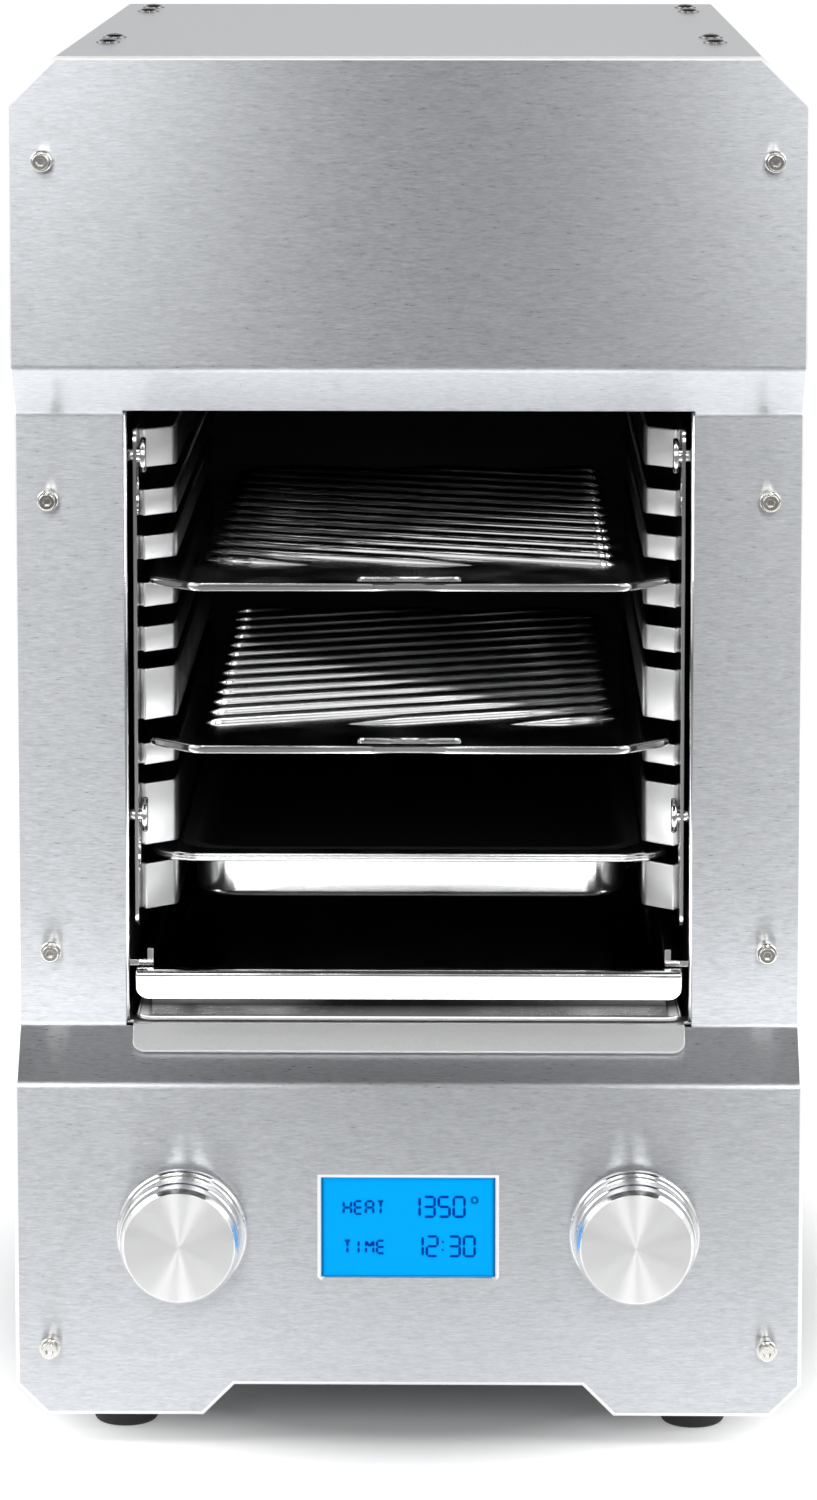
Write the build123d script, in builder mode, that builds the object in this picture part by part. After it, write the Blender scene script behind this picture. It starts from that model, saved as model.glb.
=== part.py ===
from build123d import *
import math
import os

os.makedirs("parts", exist_ok=True)

# Electric broiler: a bent steel faceplate on a tall cabinet, with a rack chamber under a top heater.
# Origin: centre of the footprint on the floor. +X is the viewer's right, -Y the front, +Z up.

# Faceplate
PLATE_WIDTH = 265.0
PLATE_BOTTOM = 10.0
PLATE_TOP = 469.0
PLATE_T = 1.5
FRONT_Y = -185.5
RECESS_DEPTH = 16.7
RECESS_Y = FRONT_Y + RECESS_DEPTH
LOWER_BEND_Z = 124.0
SILL_Z = LOWER_BEND_Z + RECESS_DEPTH
HEAD_Z = 348.7
UPPER_BEND_Z = HEAD_Z + RECESS_DEPTH
OUTER_BEND_R = 3.2
INNER_BEND_R = 1.0
TOP_CHAMFER = 16.2
FOOT_CHAMFER = 10.5
NOTCH_Z = 20.5
NOTCH_HALF_TOP = 58.7
NOTCH_HALF_BOTTOM = 69.2
OPENING_HALF = 95.5
OPENING_BOTTOM = 140.4
OPENING_TOP = 349.9
FOOT_CORNER_R = 5.0
TOP_EDGE_R = 1.0

# Cabinet sheets
COVER_HALF = 132.0
COVER_TOP = 469.0
COVER_BOTTOM = 20.5
SHEET_T = 1.0
BACK_Y = 199.5
REAR_FLANGE = 12.0
BASE_Z = 20.5
COVER_INNER = COVER_HALF - SHEET_T
PANEL_BACK_Y = FRONT_Y + PLATE_T
EDGE_GAP = 2.3
HALF_BEND = math.tan(math.radians(22.5))

# Frame uprights behind the faceplate
UPRIGHT_IN = 112.0
UPRIGHT_BOTTOM = BASE_Z + SHEET_T
UPRIGHT_TOP = 448.0
UPRIGHT_T = 1.5
UPRIGHT_DEPTH = 22.0

# Front screws on collars
SCREW_X = 120.5
FRONT_SCREW_Z = (34.4, 434.7)
RECESS_SCREW_Z = (166.6, 320.0)
SCREW_R = 1.5
SCREW_HOLE_R = 1.8
SCREW_HEAD_R = 2.8
SCREW_HEAD_H = 3.2
SCREW_HEAD_ROUND = 0.4
SCREW_SHANK = 7.0
SOCKET_R = 1.45
SOCKET_DEPTH = 1.7
COLLAR_R = 3.55
COLLAR_BORE_R = 1.6
COLLAR_H = 5.4
COLLAR_CHAMFER = 0.3
WELD_NUT_R = 3.2
WELD_NUT_H = 2.4

# Feet
FOOT_X = 97.0
FOOT_YS = (-156.5, 165.0)
FOOT_R = 11.0
FOOT_TAPER = 3.0
FOOT_EDGE_R = 2.0
FOOT_STEP_R = 5.2
FOOT_STEP_Z = 9.0
FOOT_SCREW_R = 2.5
FOOT_HOLE_R = 2.6
FOOT_HEAD_R = 4.6
FOOT_HEAD_H = 3.2
FOOT_SCREW_LENGTH = 18.0

# Chamber
FLOOR_BOTTOM = 140.6
FLOOR_TOP = FLOOR_BOTTOM + SHEET_T
WALL_INNER = 95.8
WALL_TOP = 350.5
CHAMBER_BACK_Y = 164.0
LINER_HALF = 110.0
LIP_HALF = 93.0
LIP_LENGTH = 10.4
LIP_GAP = 1.0
LIP_CORNER_R = 4.0
LIP_BEND_R = 1.2
WALL_FRONT_Y = RECESS_Y + PLATE_T
WALL_FLANGE_ZS = (146.0, 343.0)
HEM_R = 0.8
HEM_LAP = 0.2

# Insulation and heat shield
BLANKET_FRONT_Y = -150.0
BLANKET_GAP = 2.0
SIDE_BLANKET_X = 112.5
SIDE_BLANKET_T = 30.0
TOP_BLANKET = (190.0, 300.0, 40.0)
REAR_BLANKET_T = 25.0
REAR_BLANKET_HOLE_R = 8.0
FLOOR_BLANKET = (220.0, 310.0)
FLOOR_BLANKET_Y = 10.0
SHIELD_Z = 119.0
SHIELD_Y = 20.0
SHIELD_LENGTH = 340.0
SHIELD_FLANGE = 12.0

# Heater
REFLECTOR_HALF = 89.0
REFLECTOR_FRONT_Y = -158.0
REFLECTOR_BACK_Y = 160.0
REFLECTOR_TOP = 388.0
ELEMENT_Z = 368.0
ELEMENT_R = 4.0
ELEMENT_PITCH = 30.0
ELEMENT_PASSES = 6
ELEMENT_FRONT_Y = -135.0
ELEMENT_TURN_Y = 140.0
ELEMENT_END_Y = 176.0
ELEMENT_TURN_GAP = 0.5
SUPPORT_YS = (-60.0, 60.0)
SUPPORT_BAR = (10.0, 1.5)
SUPPORT_POST = 6.0
SUPPORT_POST_SPACING = 100.0
LINER_FRONT_GAP = 0.6
TERMINAL_FLANGE = (8.0, 3.0)
TERMINAL_BODY = (6.0, 8.0)
TERMINAL_BORE_R = 4.1
ELEMENT_HOLE_R = 4.2

# Thermocouple, thermal cut-out and heater leads
PROBE_Z = 335.0
PROBE_TIP_Y = 138.0
PROBE_R = 1.5
PROBE_HOLE_R = 1.8
PROBE_FLANGE = (6.0, 4.0)
PROBE_BEND_R = 3.5
PROBE_LEAD_Z = 60.0
PROBE_LEAD_END = (-35.0, 125.0)
LEAD_Y = 194.0
LEAD_R = 1.8
LEAD_BEND_R = 8.0
LEAD_Z = 75.0
LEAD_DROP_Z = 50.0
LEAD_ENDS = ((-80.0, 125.0), (-20.0, 125.0))
CUTOUT_PLACE = (40.0, 20.0)
CUTOUT_TAB = (30.0, 12.0, 1.0)
CUTOUT_R = 8.0
CUTOUT_H = 9.0

# Racks
RACK_OUTER = 92.8
RACK_INNER = 91.6
RUNG_T = 1.2
RUNG_INNER = 79.5
RUNG_FRONT_Y = FRONT_Y + 39.0
RUNG_BACK_Y = 140.0
RACK_FRONT_Y = -161.0
RACK_BACK_Y = 155.0
RACK_BOTTOM = 172.0
RACK_TOP = 343.0
RUNG_ZS = (
    (175.6, 191.2), (197.8, 219.0), (225.5, 232.8), (241.0, 258.5), (264.4, 273.0),
    (279.9, 288.1), (296.0, 304.2), (311.1, 320.0), (327.7, 340.8),
)
STUD_YS = (-154.0, 147.5)
STUD_ZS = (210.0, 333.0)
STUD_R = 2.5
STUD_HEAD_R = 6.0
STUD_HEAD_INNER = 88.6
STUD_HEAD_T = 2.0
STUD_HEAD_ROUND = 0.8
KEYHOLE_DROP = 14.0
KEYHOLE_GAP = 0.2
KEYHOLE_R = 6.5
RACK_CORNER_R = 5.0
RUNG_BEND_R = 2.0
RUNG_LEAD = 9.0
RUNG_TRIM = (20.0, 400.0)

# Grill plates, pan and drip tray
SEAT_GAP = 0.3
GRILL_HALF = 88.6
GRILL_FRONT_Y = FRONT_Y + 20.0
GRILL_LENGTH = 325.0
GRILL_T = 2.6
GRILL_CHAMFER = 16.0
GRIP_SLOT = (34.0, 10.0)
GRIP_SETBACK = 10.0
GRIP_CORNER_R = 1.0
RIB_FIELD = (143.6, 257.0)
RIB_SETBACK = 41.0
RIB_ANGLE = 20.0
RIB_PITCH = 20.4
RIB_WIDTH = 6.0
RIB_HEIGHT = 2.4
RIB_POINT = 8.0
RIB_START = 14.0
RIB_TAPER = 25.0
UPPER_GRILL_Z = 288.1 + SEAT_GAP
LOWER_GRILL_Z = 232.8 + SEAT_GAP
PAN_Z = 191.2 + SEAT_GAP
PAN_FRONT_Y = FRONT_Y + 42.0
PAN_LENGTH = 300.0
PAN_CORNER_R = 17.0
PAN_BODY = (150.0, 276.0)
PAN_BODY_R = 16.0
PAN_DEPTH = 18.0
PAN_WALL = 0.8
PAN_DRAFT = 5.0
PAN_BEND_R = 4.0
RIM_H = 2.9
RIM_BEAD = 2.2
RIM_LAP = 0.5
TRAY_HALF = 92.3
TRAY_FRONT_Y = -167.5
TRAY_BACK_Y = 157.0
TRAY_Z = FLOOR_TOP + SEAT_GAP
TRAY_WALL_TOP = 157.5
TRAY_WALL = 0.8
TRAY_CORNER_R = 6.0
TRAY_BEND_R = 2.0
FLAP_TOP = 159.3
FLAP_BOTTOM = 150.7
FLAP_REACH = 5.0
FLAP_LEDGE = 6.5
FLAP_ROOT = 6.0
FLAP_BEND_R = 1.6
FLAP_CORNER_R = 4.4
FLAP_INSET = 0.4
GUIDE_INNER = 86.5
GUIDE_Z = 160.2
GUIDE_LIP_TOP = 166.0
GUIDE_LIP_T = 2.0
GUIDE_YS = (-165.0, 160.0)
GUIDE_T = 2.0

# Controls
KNOB_X = 76.0
KNOB_Z = 74.0
KNOB_GAP = 2.7
KNOB_H = 22.0
KNOB_FLANGE_R = 22.0
KNOB_BODY_R = 20.4
KNOB_FACE_R = 18.35
KNOB_CAVITY = (10.0, 10.0)
KNOB_SOCKET_OUT = 18.0
KNOB_SOCKET_GAP = 0.02
KNOB_FLANGE_H = 3.2
KNOB_GROOVE = 0.8
KNOB_STEP_OUT = 15.0
KNOB_STEP = 0.6
KNOB_BEVEL_OUT = 20.0
NUT_R = 5.6
NUT_H = 2.0
NUT_GAP = 0.05
SHAFT_R = 3.0
RUN_FIT = 0.05
BUSHING_R = 3.5
BUSHING_HOLE_R = 3.6
BUSHING_LENGTH = 6.0
ENCODER_SIZE = 13.0
ENCODER_DEPTH = 8.0
ROTOR_R = 5.0
ROTOR_GAP = 0.3
ROTOR_YS = (PANEL_BACK_Y + 2.0, PANEL_BACK_Y + 5.0)
SHAFT_YS = (FRONT_Y - 17.5, PANEL_BACK_Y + 5.5)
BOARD_T = 1.6
BOARD_Y = PANEL_BACK_Y + ENCODER_DEPTH
WINDOW = (58.5, 34.0)
WINDOW_Z = 75.0
STANDOFF_X = 92.0
STANDOFF_ZS = (50.0, 100.0)
STANDOFF_R = 3.0
BORE_END_Y = BOARD_Y - 0.5
LENS_GAP = 0.2
LENS_SETBACK = 0.6
LENS_FLANGE = 3.0
LENS_FLANGE_T = 1.0
MODULE_MARGIN = 3.5
MODULE_SETBACK = 2.0
MODULE_GAP = 0.1
SURROUND_MARGIN = 6.0

# Boards and terminal block in the control bay
CONTROL_HALF = 100.0
CONTROL_ZS = (44.0, 106.0)
CHIP_PLACES = ((-40.0, 60.0), (45.0, 92.0))
CHIP_SIZE = (24.0, 12.0)
PROCESSOR_PLACE = (10.0, 60.0)
PROCESSOR_SIZE = 14.0
CHIP_H = 5.0
POWER_PLACE = (-60.0, 70.0)
POWER_SIZE = 100.0
POWER_Z = 30.0
POWER_POST_SPACING = 88.0
CAPACITOR_PLACE = (-95.0, 45.0)
CAPACITOR_SIZE = (16.0, 30.0)
CONNECTOR_PLACE = (-35.0, 105.0)
CONNECTOR_SIZE = (40.0, 10.0)
CONNECTOR_H = 12.0
RELAY_PLACES = ((-70.0, 50.0), (-35.0, 50.0))
RELAY_SIZE = (28.0, 14.0)
RELAY_H = 20.0
RELAY_CORNER_R = 1.0
BLOCK_PLACE = (70.0, 140.0)
BLOCK_SIZE = (54.0, 24.0)
BLOCK_H = 16.0
BLOCK_HOLE_PITCH = (16.0, 12.0)
BLOCK_HOLE_R = 3.0
BLOCK_HOLE_DEPTH = 8.0

# Rivets on the top and their hanger brackets
RIVET_X = 104.5
RIVET_SPACING = 34.0
BRACKET_YS = (-80.5, 150.5)
BRACKET_LENGTH = 48.0
BRACKET_XS = (97.0, 110.0)
RIVET_R = 2.0
RIVET_HOLE_R = 2.1
RIVET_LENGTH = 5.0
RIVET_HEAD_R = 4.2
RIVET_HEAD_H = 1.4
RIVET_ROUND = 1.3

# Back of the cabinet
GLAND_X = 85.0
GLAND_Z = 50.0
GLAND_BORE_R = 4.0
GLAND_END_Y = 207.5
GLAND_R = 8.0
GLAND_ROUND = 2.0
GLAND_HEX = (11.0, 3.0)
GLAND_STEM = (7.0, 11.0)
GLAND_NUT = (10.5, 4.0)
GLAND_HOLE_R = 7.1
GLAND_CLEAR_R = 12.0
BACK_INSET = 0.4
VENT_SLOT = (44.0, 5.0)
VENT_PITCH = (56.0, 12.0)
UPPER_VENT_Z = 410.0
LOWER_VENT_PLACE = (-40.0, 80.0)
REAR_SCREW_R = 2.0
REAR_HOLE_R = 2.1
REAR_HEAD_R = 3.8
REAR_HEAD_H = 2.2
REAR_HEAD_ROUND = 1.2
REAR_SCREW_LENGTH = 8.0
REAR_SCREW_X = 125.5
REAR_SCREW_ZS = (40.0, 180.0, 320.0, 440.0)

# Base pan
BASE_FRONT_Y = PANEL_BACK_Y + 0.1
BASE_BACK_Y = BACK_Y - 2 * SHEET_T
BASE_FLANGE_Y = FRONT_Y + UPRIGHT_DEPTH + 3.0
BASE_FLANGE_TOP = 40.0
INTAKE_PLACE = (60.0, 60.0)
INTAKE_SLOT = (70.0, 5.0)
INTAKE_PITCH = 12.0

SIDES = ((-1, "left"), (1, "right"))


def keep(builder, name):
    """Label a finished piece and write it as its own file."""
    builder.part.label = name
    export_step(builder.part, f"parts/{name}.step")


def facing_front(y):
    """Plane at depth y whose normal faces the front; its x is +X and its y is +Z."""
    return Plane.XZ.offset(-y)


def joggle_line(bottom, top, depth):
    """Six (y, z) points along the bent faceplate, a given depth behind its front face."""
    shift = depth * HALF_BEND
    near = FRONT_Y + depth
    far = RECESS_Y + depth
    return [
        (near, bottom), (near, LOWER_BEND_Z - shift), (far, SILL_Z - shift),
        (far, HEAD_Z + shift), (near, UPPER_BEND_Z + shift), (near, top),
    ]


def joggle_radii(depth):
    """Bend radii of the four bends, a given depth behind the faceplate's front face."""
    convex = OUTER_BEND_R - depth
    concave = INNER_BEND_R + depth
    return [convex, concave, concave, convex]


def bent_sheet(x, bottom, top, near, far):
    """Section, at one x, of sheet that follows the faceplate's bends between two depths."""
    with BuildSketch(Plane.YZ.offset(x)) as section:
        with BuildLine():
            front = FilletPolyline(*joggle_line(bottom, top, near), radius=joggle_radii(near))
            back = FilletPolyline(*joggle_line(bottom, top, far), radius=joggle_radii(far))
            Line(front @ 0, back @ 0)
            Line(front @ 1, back @ 1)
        make_face()
    return section.sketch


def cabinet_line(inset):
    """Six (x, z) points up one side of the cabinet, over its chamfered top and down the other."""
    half = COVER_HALF - inset
    top = COVER_TOP - inset
    cut = TOP_CHAMFER - inset * HALF_BEND
    return [
        (-half, COVER_BOTTOM), (-half, top - cut), (-half + cut, top),
        (half - cut, top), (half, top - cut), (half, COVER_BOTTOM),
    ]


def cabinet_band(y, width):
    """Section, at one depth, of a band inside the cabinet's sides, chamfers and top."""
    with BuildSketch(facing_front(y)) as section:
        with BuildLine():
            Polyline(*cabinet_line(0), *reversed(cabinet_line(width)), close=True)
        make_face()
    return section.sketch


front_places = [(side * SCREW_X, z) for side, _ in SIDES for z in FRONT_SCREW_Z]
recess_places = [(side * SCREW_X, z) for side, _ in SIDES for z in RECESS_SCREW_Z]
screw_rows = ((FRONT_Y, front_places), (RECESS_Y, recess_places))
knob_places = [(side * KNOB_X, KNOB_Z) for side, _ in SIDES]
foot_places = [(side * FOOT_X, y) for side, _ in SIDES for y in FOOT_YS]
rivet_places = [
    (side * RIVET_X, y + along * RIVET_SPACING / 2)
    for side, _ in SIDES
    for y in BRACKET_YS
    for along in (-1, 1)
]
rear_screw_places = [(side * REAR_SCREW_X, z) for side, _ in SIDES for z in REAR_SCREW_ZS]

# Faceplate: one bent sheet with the chamber opening, the window, the notch and its holes
half_plate = PLATE_WIDTH / 2
with BuildPart() as front_plate:
    extrude(bent_sheet(0, PLATE_BOTTOM, PLATE_TOP, 0, PLATE_T), amount=half_plate, both=True)
    with BuildSketch(facing_front(RECESS_Y)):
        with BuildLine():
            Polyline(
                (0, NOTCH_Z), (NOTCH_HALF_TOP, NOTCH_Z), (NOTCH_HALF_BOTTOM, PLATE_BOTTOM),
                (half_plate - FOOT_CHAMFER, PLATE_BOTTOM), (half_plate, PLATE_BOTTOM + FOOT_CHAMFER),
                (half_plate, PLATE_TOP - TOP_CHAMFER), (half_plate - TOP_CHAMFER, PLATE_TOP),
                (0, PLATE_TOP), close=True,
            )
        make_face()
        mirror(about=Plane.YZ)
        fillet(vertices().filter_by(lambda v: v.Y < NOTCH_Z + 1 and v.X != 0), radius=FOOT_CORNER_R)
    extrude(amount=2 * RECESS_DEPTH, both=True, mode=Mode.INTERSECT)
    with BuildSketch(facing_front(RECESS_Y)):
        with Locations((0, (OPENING_BOTTOM + OPENING_TOP) / 2)):
            Rectangle(2 * OPENING_HALF, OPENING_TOP - OPENING_BOTTOM)
        with Locations((0, WINDOW_Z)):
            Rectangle(*WINDOW)
        with Locations(*front_places, *recess_places):
            Circle(SCREW_HOLE_R)
        with Locations(*knob_places):
            Circle(BUSHING_HOLE_R)
    extrude(amount=2 * RECESS_DEPTH, both=True, mode=Mode.SUBTRACT)
    fillet(edges().filter_by(Axis.X).group_by(Axis.Z)[-1].sort_by(Axis.Y)[0], radius=TOP_EDGE_R)
keep(front_plate, "front_plate")

# Frame uprights: bent angles behind the faceplate that carry its screws
for side, name in SIDES:
    with BuildPart() as frame_upright:
        flange = bent_sheet(side * UPRIGHT_IN, UPRIGHT_BOTTOM, UPRIGHT_TOP, PLATE_T, PLATE_T + UPRIGHT_T)
        extrude(flange, amount=side * (COVER_INNER - UPRIGHT_IN))
        with BuildSketch(Plane.YZ.offset(side * COVER_INNER)):
            with BuildLine():
                near_line = joggle_line(UPRIGHT_BOTTOM, UPRIGHT_TOP, PLATE_T + UPRIGHT_T / 2)
                far_line = joggle_line(UPRIGHT_BOTTOM, UPRIGHT_TOP, UPRIGHT_DEPTH)
                Polyline(*near_line, *reversed(far_line), close=True)
            make_face()
        extrude(amount=-side * UPRIGHT_T)
        with BuildSketch(facing_front(RECESS_Y)):
            with Locations(*front_places, *recess_places):
                Circle(SCREW_HOLE_R)
        extrude(amount=2 * RECESS_DEPTH, both=True, mode=Mode.SUBTRACT)
    keep(frame_upright, f"frame_upright_{name}")

# Outer cover: one wrapped sheet with an inward flange at the rear and rivet holes in the top
with BuildPart() as cover:
    extrude(cabinet_band(BACK_Y - SHEET_T, SHEET_T), amount=BACK_Y - SHEET_T - FRONT_Y)
    extrude(cabinet_band(BACK_Y - SHEET_T, REAR_FLANGE), amount=SHEET_T)
    with BuildSketch(Plane.YZ):
        with BuildLine():
            edge_line = [(y + EDGE_GAP, z) for y, z in joggle_line(0, PLATE_TOP + 1, 0)]
            Polyline(*edge_line, (FRONT_Y - 1, PLATE_TOP + 1), (FRONT_Y - 1, 0), close=True)
        make_face()
    extrude(amount=COVER_HALF + 1, both=True, mode=Mode.SUBTRACT)
    with BuildSketch(Plane.XY.offset(COVER_TOP - SHEET_T)):
        with Locations(*rivet_places):
            Circle(RIVET_HOLE_R)
    extrude(amount=2 * SHEET_T, mode=Mode.SUBTRACT)
    with BuildSketch(facing_front(BACK_Y)):
        with Locations(*rear_screw_places):
            Circle(REAR_HOLE_R)
    extrude(amount=3 * SHEET_T, mode=Mode.SUBTRACT)
keep(cover, "cover")

# Back panel with two fields of vent slots and the cord entry
with BuildPart() as back_panel:
    half_back = COVER_HALF - BACK_INSET
    back_top = COVER_TOP - BACK_INSET
    with BuildSketch(facing_front(BACK_Y)):
        with BuildLine():
            Polyline(
                (-half_back, BASE_Z + SHEET_T), (-half_back, back_top - TOP_CHAMFER),
                (-half_back + TOP_CHAMFER, back_top), (half_back - TOP_CHAMFER, back_top),
                (half_back, back_top - TOP_CHAMFER), (half_back, BASE_Z + SHEET_T), close=True,
            )
        make_face()
        with Locations((0, UPPER_VENT_Z)):
            with GridLocations(*VENT_PITCH, 4, 5):
                SlotOverall(*VENT_SLOT, mode=Mode.SUBTRACT)
        with Locations(LOWER_VENT_PLACE):
            with GridLocations(*VENT_PITCH, 2, 4):
                SlotOverall(*VENT_SLOT, mode=Mode.SUBTRACT)
        with Locations((GLAND_X, GLAND_Z)):
            Circle(GLAND_HOLE_R, mode=Mode.SUBTRACT)
        with Locations(*rear_screw_places):
            Circle(REAR_HOLE_R, mode=Mode.SUBTRACT)
    extrude(amount=SHEET_T)
keep(back_panel, "back_panel")

# Rear screws: pan heads that hold the back panel to the cover's flange
with BuildPart() as rear_screws:
    with BuildSketch(facing_front(BACK_Y)):
        with Locations(*rear_screw_places):
            Circle(REAR_HEAD_R)
    extrude(amount=-REAR_HEAD_H)
    fillet(edges().group_by(Axis.Y)[-1], radius=REAR_HEAD_ROUND)
    with BuildSketch(facing_front(BACK_Y)):
        with Locations(*rear_screw_places):
            Circle(REAR_SCREW_R)
    extrude(amount=REAR_SCREW_LENGTH)
keep(rear_screws, "rear_screws")

# Base pan with folded sides and intake slots
with BuildPart() as base_pan:
    with BuildSketch(Plane.XY.offset(BASE_Z)):
        with Locations((0, (BASE_FRONT_Y + BASE_BACK_Y) / 2)):
            Rectangle(2 * COVER_INNER, BASE_BACK_Y - BASE_FRONT_Y)
        with Locations(INTAKE_PLACE):
            with GridLocations(0, INTAKE_PITCH, 1, 6):
                SlotOverall(*INTAKE_SLOT, mode=Mode.SUBTRACT)
        with Locations(*foot_places):
            Circle(FOOT_HOLE_R, mode=Mode.SUBTRACT)
    extrude(amount=SHEET_T)
    with BuildSketch(Plane.XY.offset(BASE_Z)):
        for side, _ in SIDES:
            with Locations((side * (COVER_INNER - SHEET_T / 2), (BASE_FLANGE_Y + BASE_BACK_Y) / 2)):
                Rectangle(SHEET_T, BASE_BACK_Y - BASE_FLANGE_Y)
        with Locations((0, BASE_BACK_Y - SHEET_T / 2)):
            Rectangle(2 * COVER_INNER, SHEET_T)
    extrude(amount=BASE_FLANGE_TOP - BASE_Z)
    with BuildSketch(facing_front(BACK_Y)):
        with Locations((GLAND_X, GLAND_Z)):
            Circle(GLAND_CLEAR_R)
        with Locations(*rear_screw_places):
            Circle(REAR_HOLE_R)
    extrude(amount=4 * SHEET_T, mode=Mode.SUBTRACT)
keep(base_pan, "base_pan")

# Rubber feet, screwed up into the base pan
with BuildPart() as rubber_feet:
    with BuildSketch():
        with Locations(*foot_places):
            Circle(FOOT_R)
    extrude(amount=BASE_Z, taper=FOOT_TAPER)
    fillet(edges().group_by(Axis.Z)[0], radius=FOOT_EDGE_R)
    with BuildSketch():
        with Locations(*foot_places):
            Circle(FOOT_STEP_R)
    extrude(amount=FOOT_STEP_Z, mode=Mode.SUBTRACT)
    with BuildSketch():
        with Locations(*foot_places):
            Circle(FOOT_HOLE_R)
    extrude(amount=BASE_Z, mode=Mode.SUBTRACT)
keep(rubber_feet, "rubber_feet")

with BuildPart() as foot_screws:
    with BuildSketch(Plane.XY.offset(FOOT_STEP_Z)):
        with Locations(*foot_places):
            Circle(FOOT_HEAD_R)
    extrude(amount=-FOOT_HEAD_H)
    with BuildSketch(Plane.XY.offset(FOOT_STEP_Z)):
        with Locations(*foot_places):
            Circle(FOOT_SCREW_R)
    extrude(amount=FOOT_SCREW_LENGTH)
keep(foot_screws, "foot_screws")

# Hex-socket screws on collars, with weld nuts behind the uprights
with BuildPart() as front_screws:
    for y, places in screw_rows:
        seat = facing_front(y - COLLAR_H)
        with BuildSketch(seat):
            with Locations(*places):
                Circle(SCREW_HEAD_R)
        extrude(amount=SCREW_HEAD_H)
        with BuildSketch(seat):
            with Locations(*places):
                Circle(SCREW_R)
        extrude(amount=-COLLAR_H - SCREW_SHANK)
        head_y = y - COLLAR_H - SCREW_HEAD_H
        rims = edges(Select.ALL).filter_by(GeomType.CIRCLE)
        fillet(rims.filter_by_position(Axis.Y, head_y - 0.1, head_y + 0.1), radius=SCREW_HEAD_ROUND)
        with BuildSketch(seat.offset(SCREW_HEAD_H)):
            with Locations(*places):
                RegularPolygon(SOCKET_R, 6)
        extrude(amount=-SOCKET_DEPTH, mode=Mode.SUBTRACT)
keep(front_screws, "front_screws")

with BuildPart() as screw_collars:
    for y, places in screw_rows:
        with BuildSketch(facing_front(y)):
            with Locations(*places):
                Circle(COLLAR_R)
                Circle(COLLAR_BORE_R, mode=Mode.SUBTRACT)
        extrude(amount=COLLAR_H)
    outer_rims = edges().filter_by(GeomType.CIRCLE).filter_by(lambda e: e.radius > SCREW_HEAD_R)
    chamfer(outer_rims, length=COLLAR_CHAMFER)
keep(screw_collars, "screw_collars")

with BuildPart() as weld_nuts:
    for y, places in screw_rows:
        with BuildSketch(facing_front(y + PLATE_T + UPRIGHT_T)):
            with Locations(*places):
                RegularPolygon(WELD_NUT_R, 6)
                Circle(COLLAR_BORE_R, mode=Mode.SUBTRACT)
        extrude(amount=-WELD_NUT_H)
keep(weld_nuts, "weld_nuts")

# Chamber side walls with a rounded hem at the opening and outward flanges behind the faceplate
for side, name in SIDES:
    with BuildPart() as chamber_wall:
        with BuildSketch(Plane.XY.offset(FLOOR_TOP)):
            with Locations((side * (WALL_INNER + SHEET_T / 2), (WALL_FRONT_Y + CHAMBER_BACK_Y) / 2)):
                Rectangle(SHEET_T, CHAMBER_BACK_Y - WALL_FRONT_Y)
            with Locations((side * (WALL_INNER + HEM_LAP - HEM_R), WALL_FRONT_Y + HEM_R)):
                Circle(HEM_R)
        extrude(amount=WALL_TOP - FLOOR_TOP)
        with BuildSketch(Plane.XY.offset(WALL_FLANGE_ZS[0])):
            with Locations((side * (WALL_INNER + LINER_HALF) / 2, WALL_FRONT_Y + SHEET_T / 2)):
                Rectangle(LINER_HALF - WALL_INNER, SHEET_T)
        extrude(amount=WALL_FLANGE_ZS[1] - WALL_FLANGE_ZS[0])
    keep(chamber_wall, f"chamber_wall_{name}")

# Chamber floor: a flat sheet whose front tongue folds down over the faceplate's slope
diagonal = math.sqrt(0.5)
slope_run = LIP_LENGTH * diagonal
tongue_y = RECESS_Y - LIP_GAP / diagonal + FLOOR_BOTTOM - SILL_Z
mitre = SHEET_T * HALF_BEND
lip_end = (tongue_y - slope_run, FLOOR_BOTTOM - slope_run)
lip_face = (lip_end[0] - SHEET_T * diagonal, lip_end[1] + SHEET_T * diagonal)
with BuildPart() as chamber_floor:
    with BuildSketch(Plane.YZ):
        with BuildLine():
            Polyline(
                (CHAMBER_BACK_Y + SHEET_T, FLOOR_BOTTOM), (tongue_y, FLOOR_BOTTOM), lip_end, lip_face,
                (tongue_y - mitre, FLOOR_TOP), (CHAMBER_BACK_Y + SHEET_T, FLOOR_TOP), close=True,
            )
        make_face()
    extrude(amount=LINER_HALF, both=True)
    with BuildSketch(Plane.XY.offset(FLOOR_TOP)):
        for side, _ in SIDES:
            with Locations((side * (LIP_HALF + LINER_HALF) / 2, WALL_FRONT_Y - LIP_LENGTH)):
                Rectangle(LINER_HALF - LIP_HALF, 2 * (LIP_LENGTH + 1.0))
    extrude(amount=-2 * LIP_LENGTH, mode=Mode.SUBTRACT)
    short_edges = edges().filter_by(lambda e: abs(e.length - SHEET_T) < 0.01)
    fillet(short_edges.filter_by(lambda e: e.center().Z < FLOOR_BOTTOM - SHEET_T), radius=LIP_CORNER_R)
    fold = edges().filter_by(Axis.X).filter_by(lambda e: abs(e.center().Y - tongue_y + mitre) < 0.1)
    fillet(fold, radius=LIP_BEND_R)
keep(chamber_floor, "chamber_floor")

with BuildPart() as chamber_back:
    with BuildSketch(facing_front(CHAMBER_BACK_Y + SHEET_T)):
        with Locations((0, (FLOOR_TOP + WALL_TOP) / 2)):
            Rectangle(2 * LINER_HALF, WALL_TOP - FLOOR_TOP)
        with Locations((0, PROBE_Z)):
            Circle(PROBE_HOLE_R, mode=Mode.SUBTRACT)
    extrude(amount=SHEET_T)
keep(chamber_back, "chamber_back")

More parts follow.
